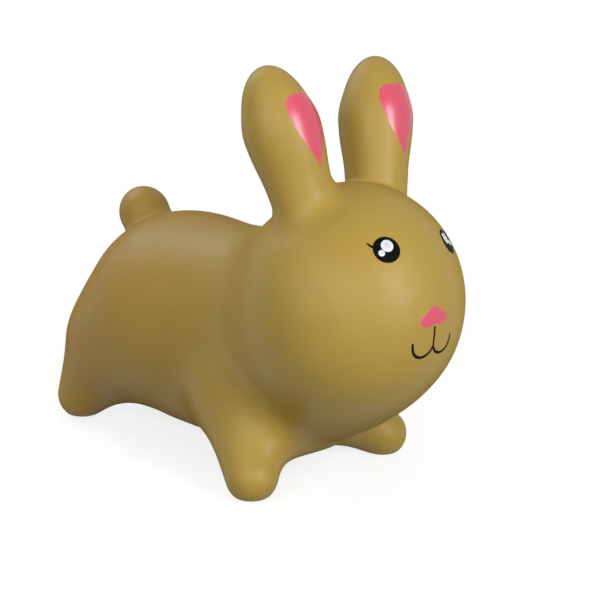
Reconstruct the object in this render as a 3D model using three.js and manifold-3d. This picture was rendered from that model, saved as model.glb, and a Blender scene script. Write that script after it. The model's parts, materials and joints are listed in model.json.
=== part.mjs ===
// Inflatable hopping rabbit, in millimetres: +Z up, nose towards -Y, standing on the plane z = 0.
// The toy is one hollow vinyl skin. Its regions are shells of their own that meet at the creases.
import * as THREE from "three";
import { mergeVertices } from "three/addons/utils/BufferGeometryUtils.js";
import Module from "manifold-3d";

const wasm = await Module();
wasm.setup();

// Skin: its wall, and the gap along the seams between regions
const SKIN_WALL = 2;
const SEAM_GAP = 0.3;

// Head: an egg that leans over the front feet
const HEAD_Y = -149;
const HEAD_Z = 207;
const HEAD_WIDTH = 234;
const HEAD_LENGTH = 232;
const HEAD_HEIGHT = 248;
const NECK_SETBACK = 58;
const NECK_BLEND = 60;

// Torso: a round rump, a narrower chest that runs under the head, and a belly that hangs between the legs
const RUMP_Y = 135;
const RUMP_Z = 137;
const RUMP_WIDTH = 246;
const RUMP_LENGTH = 246;
const RUMP_HEIGHT = 238;
const CHEST_Y = -34;
const CHEST_Z = 141;
const CHEST_WIDTH = 176;
const CHEST_LENGTH = 294;
const CHEST_HEIGHT = 242;
const TORSO_BLEND = 80;
const BELLY_Y = 60;
const BELLY_Z = 52;
const BELLY_WIDTH = 112;
const BELLY_LENGTH = 320;
const BELLY_HEIGHT = 72;
const BELLY_BLEND = 40;

// Legs: cones that taper from shoulder or thigh to a round foot with a flat sole
const SHOULDER_X = 50;
const SHOULDER_Y = -28;
const SHOULDER_Z = 73;
const SHOULDER_RADIUS = 46;
const FRONT_FOOT_X = 97;
const FRONT_FOOT_Y = -99;
const FRONT_FOOT_RADIUS = 28;
const FRONT_LEG_SEAM = 48;
const THIGH_X = 59;
const THIGH_Y = 200.5;
const THIGH_Z = 94.5;
const THIGH_RADIUS = 58;
const REAR_FOOT_X = 96.5;
const REAR_FOOT_Y = 242.8;
const REAR_FOOT_RADIUS = 22;
const REAR_LEG_SEAM = 46;
const SOLE_DEPTH = 6;
const LEG_BLEND = 50;

// Tail: a bob on the back of the rump
const TAIL_ELEVATION = 51;
const TAIL_STANDOFF = 18;
const TAIL_WIDTH = 60;
const TAIL_LENGTH = 64;
const TAIL_SEAM = 37;
const TAIL_BLEND = 10;

// Ears: a stalk out of the head and a rounded blade, which hinge in a round seat
const EAR_X = 47;
const EAR_SETBACK = 14;
const EAR_SINK = 23;
const EAR_LEAN_OUT = 11.5;
const EAR_LEAN_BACK = 14;
const EAR_RISE = 94;
const EAR_WIDTH = 74;
const EAR_LENGTH = 133;
const EAR_STALK_RADIUS = 31;
const EAR_STALK_BLEND = 10;
const EAR_BLEND = 18;
const EAR_PIVOT_RISE = 28;
const EAR_SEAT_RADIUS = 48;
const EAR_SEAT_GAP = 0.4;

// Valve: a grommet in the rump below the tail, and the plug that stops it
const VALVE_ELEVATION = 17;
const VALVE_HOLE_RADIUS = 6.3;
const VALVE_FIT = 0.3;
const GROMMET_FLANGE_RADIUS = 11;
const GROMMET_FLANGE_THICKNESS = 1.6;
const GROMMET_BEAD_RADIUS = 7.6;
const GROMMET_BEAD_THICKNESS = 1.8;
const GROMMET_BEAD_CLEARANCE = 0.9;
const GROMMET_LENGTH = 14;
const PLUG_STEM_RADIUS = 3;
const PLUG_STEM_LENGTH = 13;
const PLUG_RIB_RISE = 0.3;
const PLUG_RIB_PITCH = 4;
const PLUG_RIB_COUNT = 2;
const PLUG_HEAD_RADIUS = 7.5;
const PLUG_HEAD_THICKNESS = 1.8;

// Paint: films that lie on the skin, and the white glints on top of the eyes
const PAINT_THICKNESS = 0.4;
const EYE_RIGHT_X = -38;
const EYE_RIGHT_RISE = 76;
const EYE_LEFT_X = 53;
const EYE_LEFT_RISE = 70.5;
const EYE_WIDTH = 28.5;
const EYE_HEIGHT = 28;
const LASH_REACH = 5;
const LASH_LIFT = 4.6;
const LASH_WIDTH = 3;
const LASH_TIP = 1.6;
const LASH_RISE = 4;
const GLINT_WIDE = 12.6;
const GLINT_WIDE_IN = 1.2;
const GLINT_WIDE_UP = 3.7;
const GLINT_SMALL = 6.6;
const GLINT_SMALL_OUT = 5.8;
const GLINT_SMALL_DOWN = 3.4;
const NOSE_RISE = 9;
const NOSE_WIDTH = 39.5;
const NOSE_TOP = 10;
const NOSE_BOTTOM = 10;
const NOSE_DIP = 1.5;
const MOUTH_HALF_WIDTH = 26.5;
const MOUTH_STEM = 20;
const MOUTH_SAG = 15;
const MOUTH_LINE = 3;
const MOUTH_LINE_END = 2.4;
const HEART_HEIGHT = 78;
const HEART_NOTCH = 3.3;
const HEART_SHOULDER = 21;
const HEART_RISE = 89.7;
const HEART_RIGHT_WIDTH = 43;
const HEART_RIGHT_TURN = 12;
const HEART_RIGHT_ROLL = 1;
const HEART_LEFT_WIDTH = 44.5;
const HEART_LEFT_TURN = -1;
const HEART_LEFT_ROLL = 9.5;

// Mesh: how finely each region is cast, and how far its rays run
const HEAD_DETAIL = 5;
const TORSO_DETAIL = 7;
const EAR_SEGMENTS = 20;
const EAR_RINGS = 26;
const LEG_SEGMENTS = 16;
const LEG_RINGS = 12;
const TAIL_SEGMENTS = 20;
const TAIL_RINGS = 20;
const BALL_SEGMENTS = 20;
const SEAT_SEGMENTS = 36;
const VALVE_SEGMENTS = 16;
const CURVE_SEGMENTS = 6;
const STROKE_STEPS = 8;
const EYE_SEGMENTS = 9;
const CAST_STEPS = 60;
const CAST_PRECISION = 1e-3;
const WELD_DISTANCE = 1e-4;
const SLOPE_STEP = 0.05;
const SEAM_MARGIN = 12;
const CORE_DEPTH = 10;
const CUT_SIZE = 4 * Math.max(HEAD_LENGTH, RUMP_LENGTH, CHEST_LENGTH);

const LEFT = 1;
const RIGHT = -1;
const UP = new THREE.Vector3(0, 0, 1);
const FRONT = new THREE.Vector3(0, -1, 0);
const BACK = new THREE.Vector3(0, 1, 0);
const SIDEWAYS = new THREE.Vector3(1, 0, 0);

const vec = (x, y, z) => new THREE.Vector3(x, y, z);
const radians = THREE.MathUtils.degToRad;

// Signed distance to an ellipsoid of the given full sizes, close to true near its surface.
function ellipsoid(centre, sizes, turn = new THREE.Quaternion()) {
  const radii = sizes.clone().multiplyScalar(0.5);
  const smallest = Math.min(radii.x, radii.y, radii.z);
  const back = turn.clone().invert();
  const local = vec(0, 0, 0);
  return (point) => {
    local.subVectors(point, centre).applyQuaternion(back).divide(radii);
    const share = local.length();
    const slope = local.divide(radii).length();
    return slope === 0 ? -smallest : (share * (share - 1)) / slope;
  };
}

// Signed distance to the hull of two balls.
function roundCone(from, to, fromRadius, toRadius) {
  const along = vec(0, 0, 0).subVectors(to, from);
  const square = along.lengthSq();
  const taper = fromRadius - toRadius;
  const slant = square - taper * taper;
  const local = vec(0, 0, 0);
  const across = vec(0, 0, 0);
  return (point) => {
    local.subVectors(point, from);
    const rise = local.dot(along);
    const over = rise - square;
    across.copy(local).multiplyScalar(square).addScaledVector(along, -rise);
    const across2 = across.lengthSq();
    const rise2 = rise * rise * square;
    const over2 = over * over * square;
    const edge = Math.sign(taper) * taper * taper * across2;
    if (Math.sign(over) * slant * over2 > edge) return Math.sqrt(across2 + over2) / square - toRadius;
    if (Math.sign(rise) * slant * rise2 < edge) return Math.sqrt(across2 + rise2) / square - fromRadius;
    return (Math.sqrt((across2 * slant) / square) + rise * taper) / square - fromRadius;
  };
}

// Union of two fields with a fillet of the given width where they meet.
function blended(first, second, width) {
  return (point) => {
    const a = first(point);
    const b = second(point);
    const near = Math.max(width - Math.abs(a - b), 0) / width;
    return Math.min(a, b) - (near * near * width) / 4;
  };
}

// A left limb's field on either side of the middle plane.
function onSide(field, side) {
  const flipped = vec(0, 0, 0);
  return (point) => field(flipped.set(side * point.x, point.y, point.z));
}

// Distance from a core inside the field, along a direction, to where the field reaches a level.
function cast(field, core, direction, level, reach) {
  const point = vec(0, 0, 0);
  let distance = 0;
  for (let step = 0; step < CAST_STEPS && distance <= reach; step++) {
    const room = level - field(point.copy(core).addScaledVector(direction, distance));
    distance += room;
    if (Math.abs(room) < CAST_PRECISION) break;
  }
  return Math.min(distance, reach);
}

// Direction out of the field at a point.
function outward(field, point) {
  const beside = (axis, step) => field(point.clone().addScaledVector(axis, step));
  const slope = (axis) => beside(axis, SLOPE_STEP) - beside(axis, -SLOPE_STEP);
  return vec(slope(SIDEWAYS), slope(BACK), slope(UP)).normalize();
}

// A closed geometry as a solid that can be joined and cut.
function solidOf(geometry) {
  const bare = new THREE.BufferGeometry().setAttribute("position", geometry.getAttribute("position"));
  if (geometry.index) bare.setIndex(geometry.index);
  const merged = mergeVertices(bare, WELD_DISTANCE);
  const vertProperties = new Float32Array(merged.getAttribute("position").array);
  const triVerts = new Uint32Array(merged.index.array);
  return new wasm.Manifold(new wasm.Mesh({ numProp: 3, vertProperties, triVerts }));
}

const object = new THREE.Group();

// A named mesh of the object from a solid.
function piece(name, solid, material) {
  const mesh = solid.getMesh();
  const geometry = new THREE.BufferGeometry();
  geometry.setAttribute("position", new THREE.BufferAttribute(mesh.vertProperties, mesh.numProp));
  geometry.setIndex(new THREE.BufferAttribute(mesh.triVerts, 1));
  geometry.computeVertexNormals();
  const made = new THREE.Mesh(geometry, material.clone());
  made.name = name;
  object.add(made);
}

const finish = (color, roughness) => new THREE.MeshStandardMaterial({ color, roughness, metalness: 0 });

// Everything on the far side of a plane, along its normal.
function beyond(point, normal) {
  const box = new THREE.BoxGeometry(CUT_SIZE, CUT_SIZE, CUT_SIZE).translate(0, 0, CUT_SIZE / 2);
  box.applyQuaternion(new THREE.Quaternion().setFromUnitVectors(UP, normal));
  return solidOf(box.translate(point.x, point.y, point.z));
}

function ball(centre, radius) {
  const sphere = new THREE.SphereGeometry(radius, BALL_SEGMENTS, BALL_SEGMENTS / 2);
  return solidOf(sphere.translate(centre.x, centre.y, centre.z));
}

// A solid of revolution about an axis, from a closed profile of [radius, height] points.
function turned(profile, segments, origin, axis) {
  const points = profile.map(([radius, height]) => new THREE.Vector2(radius, height));
  const lathe = new THREE.LatheGeometry(points, segments).rotateX(Math.PI / 2);
  lathe.applyQuaternion(new THREE.Quaternion().setFromUnitVectors(UP, axis));
  return solidOf(lathe.translate(origin.x, origin.y, origin.z));
}

// Rays out of a core: spread evenly, or in rings about the Z axis.
const spread = (detail) => new THREE.IcosahedronGeometry(1, detail);
const ringed = (segments, rings) => new THREE.SphereGeometry(1, segments, rings).rotateX(Math.PI / 2);

// The solid inside a region of the skin, grown or shrunk to a level, from rays cast out of its core.
function regionSolid(region, level) {
  const sphere = mergeVertices(region.rays.clone().deleteAttribute("normal").deleteAttribute("uv"));
  const position = sphere.getAttribute("position");
  const direction = vec(0, 0, 0);
  const point = vec(0, 0, 0);
  for (let i = 0; i < position.count; i++) {
    direction.fromBufferAttribute(position, i).multiply(region.proportions).normalize();
    direction.applyQuaternion(region.turn);
    const distance = cast(region.field, region.core, direction, level, region.reach);
    point.copy(region.core).addScaledVector(direction, distance);
    position.setXYZ(i, point.x, point.y, point.z);
  }
  return solidOf(sphere);
}

const shellOf = (region) => regionSolid(region, 0).subtract(regionSolid(region, -SKIN_WALL));

// Shape of the skin

const headCentre = vec(0, HEAD_Y, HEAD_Z);
const headSizes = vec(HEAD_WIDTH, HEAD_LENGTH, HEAD_HEIGHT);
const rumpCentre = vec(0, RUMP_Y, RUMP_Z);
const rumpSizes = vec(RUMP_WIDTH, RUMP_LENGTH, RUMP_HEIGHT);
const chestCentre = vec(0, CHEST_Y, CHEST_Z);
const chestSizes = vec(CHEST_WIDTH, CHEST_LENGTH, CHEST_HEIGHT);
const bellyCentre = vec(0, BELLY_Y, BELLY_Z);
const bellySizes = vec(BELLY_WIDTH, BELLY_LENGTH, BELLY_HEIGHT);
const shoulder = vec(SHOULDER_X, SHOULDER_Y, SHOULDER_Z);
const frontFoot = vec(FRONT_FOOT_X, FRONT_FOOT_Y, FRONT_FOOT_RADIUS - SOLE_DEPTH);
const thigh = vec(THIGH_X, THIGH_Y, THIGH_Z);
const rearFoot = vec(REAR_FOOT_X, REAR_FOOT_Y, REAR_FOOT_RADIUS - SOLE_DEPTH);

const headField = ellipsoid(headCentre, headSizes);
const rumpField = ellipsoid(rumpCentre, rumpSizes);
const backField = blended(rumpField, ellipsoid(chestCentre, chestSizes), TORSO_BLEND);
const torsoField = blended(backField, ellipsoid(bellyCentre, bellySizes), BELLY_BLEND);
const frontLeg = roundCone(shoulder, frontFoot, SHOULDER_RADIUS, FRONT_FOOT_RADIUS);
const rearLeg = roundCone(thigh, rearFoot, THIGH_RADIUS, REAR_FOOT_RADIUS);
const trunkField = [frontLeg, rearLeg]
  .flatMap((leg) => [onSide(leg, LEFT), onSide(leg, RIGHT)])
  .reduce((field, leg) => blended(field, leg, LEG_BLEND), blended(torsoField, headField, NECK_BLEND));

// The tail stands off the rump's own skin, and its long axis points away from the rump.
const tailTurn = new THREE.Quaternion().setFromAxisAngle(SIDEWAYS, radians(TAIL_ELEVATION - 90));
const tailAim = UP.clone().applyQuaternion(tailTurn);
const tailRoot = cast(rumpField, rumpCentre, tailAim, 0, CUT_SIZE);
const tailCentre = rumpCentre.clone().addScaledVector(tailAim, tailRoot + TAIL_STANDOFF);
const tailField = blended(
  trunkField,
  ellipsoid(tailCentre, vec(TAIL_WIDTH, TAIL_WIDTH, TAIL_LENGTH), tailTurn),
  TAIL_BLEND,
);

// The left ear's root lies under the head's skin, straight below where the stalk comes out.
const earFoot = vec(EAR_X, HEAD_Y + EAR_SETBACK, HEAD_Z);
const earRoot = earFoot.clone().addScaledVector(UP, cast(headField, earFoot, UP, 0, CUT_SIZE) - EAR_SINK);
const earAxis = vec(Math.sin(radians(EAR_LEAN_OUT)), Math.sin(radians(EAR_LEAN_BACK)), 1).normalize();
const earTurn = new THREE.Quaternion().setFromUnitVectors(UP, earAxis);
const alongEar = (distance) => earRoot.clone().addScaledVector(earAxis, distance);
const earCentre = alongEar(EAR_RISE);
const earBlade = ellipsoid(earCentre, vec(EAR_WIDTH, EAR_WIDTH, EAR_LENGTH), earTurn);
const earStalk = roundCone(earRoot, earCentre, EAR_STALK_RADIUS, EAR_WIDTH / 2);
const earAlone = blended(earBlade, earStalk, EAR_STALK_BLEND);
const earField = (side) => blended(trunkField, onSide(earAlone, side), EAR_BLEND);

const mirrored = (point, side) => vec(point.x * side, point.y, point.z);
const UNTURNED = new THREE.Quaternion();
const EVEN = vec(1, 1, 1);

const headRegion = {
  field: trunkField,
  core: headCentre,
  proportions: headSizes,
  turn: UNTURNED,
  reach: HEAD_HEIGHT / 2 + NECK_BLEND,
  rays: spread(HEAD_DETAIL),
};

const torsoRegion = {
  field: trunkField,
  core: rumpCentre.clone().lerp(chestCentre, 0.5),
  proportions: vec(RUMP_WIDTH, RUMP_LENGTH / 2 + RUMP_Y - CHEST_Y + CHEST_LENGTH / 2, RUMP_HEIGHT),
  turn: UNTURNED,
  reach: (RUMP_Y - CHEST_Y) / 2 + CHEST_LENGTH / 2 + NECK_BLEND,
  rays: spread(TORSO_DETAIL),
};

// The tail and the ears are cast from just under the skin they grow out of, so that their fillets show.
const tailRegion = {
  field: tailField,
  core: rumpCentre.clone().addScaledVector(tailAim, tailRoot - CORE_DEPTH),
  proportions: EVEN,
  turn: tailTurn,
  reach: TAIL_STANDOFF + TAIL_SEAM + SEAM_MARGIN,
  rays: ringed(TAIL_SEGMENTS, TAIL_RINGS),
};

function legRegion({ foot, aim, seam, side }) {
  return {
    field: trunkField,
    core: mirrored(foot, side),
    proportions: EVEN,
    turn: new THREE.Quaternion().setFromUnitVectors(UP, mirrored(aim, side)),
    reach: seam + SEAM_MARGIN,
    rays: ringed(LEG_SEGMENTS, LEG_RINGS),
  };
}

function earRegion(side) {
  return {
    field: earField(side),
    core: mirrored(alongEar(EAR_SINK - CORE_DEPTH), side),
    proportions: EVEN,
    turn: new THREE.Quaternion().setFromUnitVectors(UP, mirrored(earAxis, side)),
    reach: EAR_RISE + EAR_LENGTH,
    rays: ringed(EAR_SEGMENTS, EAR_RINGS),
  };
}

// The space that an ear turns in: a ball about its pivot with a round bore above it.
function earSeat(side, clearance) {
  const radius = EAR_SEAT_RADIUS + clearance;
  const height = EAR_RISE + EAR_LENGTH;
  const profile = [];
  const quarter = SEAT_SEGMENTS / 4;
  for (let i = 0; i <= quarter; i++) {
    const angle = (i / quarter) * (Math.PI / 2);
    profile.push([radius * Math.sin(angle), -radius * Math.cos(angle)]);
  }
  profile[0][0] = 0;
  profile.push([radius, height], [0, height]);
  return turned(profile, SEAT_SEGMENTS, mirrored(alongEar(EAR_PIVOT_RISE), side), mirrored(earAxis, side));
}

// Regions of the skin

const vinyl = finish(0xa88c46, 0.42);
const aimFrom = (from, to) => to.clone().sub(from).normalize();
const neckAim = aimFrom(chestCentre, headCentre);
const neckFront = headCentre.clone().addScaledVector(neckAim, SEAM_GAP / 2 - NECK_SETBACK);
const neckBack = headCentre.clone().addScaledVector(neckAim, -SEAM_GAP / 2 - NECK_SETBACK);

const legs = [
  { name: "front_leg", foot: frontFoot, aim: aimFrom(frontFoot, shoulder), seam: FRONT_LEG_SEAM },
  { name: "rear_leg", foot: rearFoot, aim: aimFrom(rearFoot, thigh), seam: REAR_LEG_SEAM },
].flatMap((leg) => [
  { ...leg, name: `${leg.name}_left`, side: LEFT },
  { ...leg, name: `${leg.name}_right`, side: RIGHT },
]);

function makeHead() {
  const shell = shellOf(headRegion).intersect(beyond(neckFront, neckAim));
  const open = [LEFT, RIGHT].reduce((left, side) => left.subtract(earSeat(side, EAR_SEAT_GAP)), shell);
  piece("head", open, vinyl);
}

function makeTorso() {
  let shell = shellOf(torsoRegion).subtract(beyond(neckBack, neckAim));
  for (const leg of legs) shell = shell.subtract(ball(mirrored(leg.foot, leg.side), leg.seam + SEAM_GAP));
  shell = shell.subtract(ball(tailCentre, TAIL_SEAM + SEAM_GAP));
  const depth = SKIN_WALL + SEAM_MARGIN;
  const hole = [[0, -depth], [VALVE_HOLE_RADIUS, -depth], [VALVE_HOLE_RADIUS, depth], [0, depth]];
  piece("torso", shell.subtract(turned(hole, VALVE_SEGMENTS, valvePoint, valveAxis)), vinyl);
}

function makeLegs() {
  const below = (height) => beyond(UP.clone().multiplyScalar(height), UP.clone().negate());
  for (const leg of legs) {
    const region = legRegion(leg);
    const outer = regionSolid(region, 0).subtract(below(0));
    const inner = regionSolid(region, -SKIN_WALL).subtract(below(SKIN_WALL));
    piece(leg.name, outer.subtract(inner).intersect(ball(region.core, leg.seam)), vinyl);
  }
}

function makeTail() {
  piece("tail", shellOf(tailRegion).intersect(ball(tailCentre, TAIL_SEAM)), vinyl);
}

function makeEar(name, side) {
  piece(name, shellOf(earRegion(side)).intersect(earSeat(side, 0)), vinyl);
}

// Valve

const valveAim = vec(0, Math.cos(radians(VALVE_ELEVATION)), Math.sin(radians(VALVE_ELEVATION)));
const valveReach = cast(trunkField, rumpCentre, valveAim, 0, CUT_SIZE);
const valvePoint = rumpCentre.clone().addScaledVector(valveAim, valveReach);
const valveAxis = outward(trunkField, valvePoint).setX(0).normalize();

function makeGrommet() {
  const bore = PLUG_STEM_RADIUS + PLUG_RIB_RISE + VALVE_FIT;
  const sleeve = VALVE_HOLE_RADIUS - VALVE_FIT;
  const beadTop = -SKIN_WALL - GROMMET_BEAD_CLEARANCE;
  const beadBottom = beadTop - GROMMET_BEAD_THICKNESS;
  const face = VALVE_FIT + GROMMET_FLANGE_THICKNESS;
  const profile = [
    [bore, -GROMMET_LENGTH],
    [sleeve, -GROMMET_LENGTH],
    [sleeve, beadBottom],
    [GROMMET_BEAD_RADIUS, beadBottom],
    [GROMMET_BEAD_RADIUS, beadTop],
    [sleeve, beadTop],
    [sleeve, VALVE_FIT],
    [GROMMET_FLANGE_RADIUS, VALVE_FIT],
    [GROMMET_FLANGE_RADIUS, face],
    [bore, face],
    [bore, -GROMMET_LENGTH],
  ];
  piece("valve_grommet", turned(profile, VALVE_SEGMENTS, valvePoint, valveAxis), finish(0xa08540, 0.45));
}

function makePlug() {
  const seat = VALVE_FIT + GROMMET_FLANGE_THICKNESS + VALVE_FIT;
  const rib = PLUG_STEM_RADIUS + PLUG_RIB_RISE;
  const profile = [[0, seat - PLUG_STEM_LENGTH], [PLUG_STEM_RADIUS, seat - PLUG_STEM_LENGTH]];
  for (let i = PLUG_RIB_COUNT; i > 0; i--) {
    const height = seat - i * PLUG_RIB_PITCH;
    profile.push([PLUG_STEM_RADIUS, height - PLUG_RIB_PITCH / 4], [rib, height]);
    profile.push([PLUG_STEM_RADIUS, height + PLUG_RIB_PITCH / 4]);
  }
  profile.push([PLUG_STEM_RADIUS, seat], [PLUG_HEAD_RADIUS, seat]);
  profile.push([PLUG_HEAD_RADIUS, seat + PLUG_HEAD_THICKNESS], [0, seat + PLUG_HEAD_THICKNESS]);
  piece("valve_plug", turned(profile, VALVE_SEGMENTS, valvePoint, valveAxis), finish(0xeceae2, 0.5));
}

// Painted films

const black = finish(0x14110f, 0.25);
const pink = finish(0xe65a76, 0.22);
const white = finish(0xf4f2ee, 0.25);

// Place on the face that lies ahead of a point: +Z out of the skin, +Y up it.
function facePlace(x, rise) {
  const inside = vec(x, HEAD_Y, HEAD_Z + rise);
  const point = inside.clone().addScaledVector(FRONT, cast(trunkField, inside, FRONT, 0, CUT_SIZE));
  const normal = outward(trunkField, point);
  const across = vec(0, 0, 0).crossVectors(UP, normal).normalize();
  const upward = vec(0, 0, 0).crossVectors(normal, across);
  return new THREE.Matrix4().makeBasis(across, upward, normal).setPosition(point);
}

// Place on the front of an ear, turned round the ear's axis and rolled on its skin.
function earPlace(side, turn, roll) {
  const axis = mirrored(earAxis, side);
  const inside = mirrored(alongEar(HEART_RISE), side);
  const level = FRONT.clone().addScaledVector(axis, -FRONT.dot(axis)).normalize();
  const normal = level.applyAxisAngle(axis, radians(-turn * side));
  const point = inside.clone().addScaledVector(normal, cast(earField(side), inside, normal, 0, CUT_SIZE));
  const across = vec(0, 0, 0).crossVectors(axis, normal);
  const place = new THREE.Matrix4().makeBasis(across, axis, normal).setPosition(point);
  return place.multiply(new THREE.Matrix4().makeRotationZ(radians(roll * side)));
}

// Column through the skin under an outline.
function stencil(shape, place) {
  const column = new THREE.ExtrudeGeometry(shape, {
    depth: 2 * SEAM_MARGIN,
    bevelEnabled: false,
    curveSegments: CURVE_SEGMENTS,
  });
  return solidOf(column.translate(0, 0, -SEAM_MARGIN).applyMatrix4(place));
}

// Film of paint on a region of the skin, inside an outline's column.
function film(region, column, level) {
  const lifted = regionSolid(region, level + PAINT_THICKNESS).subtract(regionSolid(region, level));
  return lifted.intersect(column);
}

const PAINT_LEVEL = SEAM_GAP;
const GLINT_LEVEL = PAINT_LEVEL + PAINT_THICKNESS + SEAM_GAP;

function oval(width, height, x, y) {
  const curve = new THREE.EllipseCurve(x, y, width / 2, height / 2);
  return new THREE.Shape(curve.getPoints(2 * EYE_SEGMENTS).slice(0, -1));
}

// Outline of a brush line along a curve, from one width to another.
function stroke(curve, startWidth, endWidth) {
  const left = [];
  const right = [];
  for (let i = 0; i <= STROKE_STEPS; i++) {
    const share = i / STROKE_STEPS;
    const middle = curve.getPointAt(share);
    const along = curve.getTangentAt(share);
    const half = THREE.MathUtils.lerp(startWidth, endWidth, share) / 2;
    left.push(new THREE.Vector2(middle.x - along.y * half, middle.y + along.x * half));
    right.push(new THREE.Vector2(middle.x + along.y * half, middle.y - along.x * half));
  }
  return new THREE.Shape([...right, ...left.reverse()]);
}

// Eye with a lash at its outer corner and two glints.
function makeEye(side, x, rise) {
  const name = side === LEFT ? "left" : "right";
  const place = facePlace(x, rise);
  const edge = (EYE_WIDTH / 2) * Math.sqrt(1 - (2 * LASH_RISE / EYE_HEIGHT) ** 2);
  const lash = new THREE.QuadraticBezierCurve(
    new THREE.Vector2(side * (edge - LASH_WIDTH), LASH_RISE - LASH_WIDTH / 2),
    new THREE.Vector2(side * (edge + LASH_REACH / 2), LASH_RISE),
    new THREE.Vector2(side * (edge + LASH_REACH), LASH_RISE + LASH_LIFT),
  );
  const round = stencil(oval(EYE_WIDTH, EYE_HEIGHT, 0, 0), place);
  const column = round.add(stencil(stroke(lash, LASH_WIDTH, LASH_TIP), place));
  piece(`eye_${name}`, film(headRegion, column, PAINT_LEVEL), black);
  const wide = oval(GLINT_WIDE, GLINT_WIDE, -side * GLINT_WIDE_IN, GLINT_WIDE_UP);
  const small = oval(GLINT_SMALL, GLINT_SMALL, side * GLINT_SMALL_OUT, -GLINT_SMALL_DOWN);
  piece(`eye_glint_large_${name}`, film(headRegion, stencil(wide, place), GLINT_LEVEL), white);
  piece(`eye_glint_small_${name}`, film(headRegion, stencil(small, place), GLINT_LEVEL), white);
}

// Rounded nose: a wide blob with a domed top and a slight dip below.
function makeNose() {
  const half = NOSE_WIDTH / 2;
  const shape = new THREE.Shape();
  shape.moveTo(0, NOSE_DIP - NOSE_BOTTOM);
  shape.bezierCurveTo(half / 2, -NOSE_BOTTOM - NOSE_DIP, half, -NOSE_BOTTOM, half, 0);
  shape.bezierCurveTo(half, NOSE_TOP / 2, half / 2, NOSE_TOP, 0, NOSE_TOP);
  shape.bezierCurveTo(-half / 2, NOSE_TOP, -half, NOSE_TOP / 2, -half, 0);
  shape.bezierCurveTo(-half, -NOSE_BOTTOM, -half / 2, -NOSE_BOTTOM - NOSE_DIP, 0, NOSE_DIP - NOSE_BOTTOM);
  piece("nose", film(headRegion, stencil(shape, facePlace(0, NOSE_RISE)), PAINT_LEVEL), pink);
}

// Mouth: a stem under the nose that parts into two upturned lines.
function makeMouth() {
  const top = NOSE_RISE - NOSE_BOTTOM - SEAM_GAP;
  const place = facePlace(0, top - MOUTH_STEM);
  const stem = new THREE.LineCurve(new THREE.Vector2(0, MOUTH_STEM), new THREE.Vector2(0, -MOUTH_LINE / 4));
  const lip = (side) =>
    new THREE.CubicBezierCurve(
      new THREE.Vector2(0, 0),
      new THREE.Vector2((side * MOUTH_HALF_WIDTH) / 6, -MOUTH_SAG),
      new THREE.Vector2(side * MOUTH_HALF_WIDTH, -MOUTH_SAG),
      new THREE.Vector2(side * MOUTH_HALF_WIDTH, MOUTH_SAG / 3),
    );
  const column = [LEFT, RIGHT].reduce(
    (joined, side) => joined.add(stencil(stroke(lip(side), MOUTH_LINE, MOUTH_LINE_END), place)),
    stencil(stroke(stem, MOUTH_LINE_END, MOUTH_LINE), place),
  );
  piece("mouth", film(headRegion, column, PAINT_LEVEL), black);
}

// Long heart on the front of an ear.
function makeHeart(name, side, width, turn, roll) {
  const half = width / 2;
  const top = HEART_HEIGHT / 2;
  const widest = top - HEART_SHOULDER;
  const shape = new THREE.Shape();
  shape.moveTo(0, -top);
  shape.bezierCurveTo(half / 2, -top / 2, half, 0, half, widest);
  shape.bezierCurveTo(half, top, half / 4, top + HEART_NOTCH, 0, top - HEART_NOTCH);
  shape.bezierCurveTo(-half / 4, top + HEART_NOTCH, -half, top, -half, widest);
  shape.bezierCurveTo(-half, 0, -half / 2, -top / 2, 0, -top);
  piece(name, film(earRegion(side), stencil(shape, earPlace(side, turn, roll)), PAINT_LEVEL), pink);
}

makeTorso();
makeHead();
makeEar("ear_left", LEFT);
makeEar("ear_right", RIGHT);
makeLegs();
makeTail();
makeGrommet();
makePlug();
makeEye(LEFT, EYE_LEFT_X, EYE_LEFT_RISE);
makeEye(RIGHT, EYE_RIGHT_X, EYE_RIGHT_RISE);
makeNose();
makeMouth();
makeHeart("ear_heart_left", LEFT, HEART_LEFT_WIDTH, HEART_LEFT_TURN, HEART_LEFT_ROLL);
makeHeart("ear_heart_right", RIGHT, HEART_RIGHT_WIDTH, HEART_RIGHT_TURN, HEART_RIGHT_ROLL);

export default object;
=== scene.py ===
"""An inflatable hopping rabbit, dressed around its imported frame: metres, +Z up, nose towards -Y."""
import json
import logging
import math
from collections.abc import Mapping, Sequence
from dataclasses import dataclass, field
from enum import Enum

import bmesh
import bpy
import numpy as np
from mathutils import Euler, Matrix, Vector
from mathutils.bvhtree import BVHTree


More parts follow.
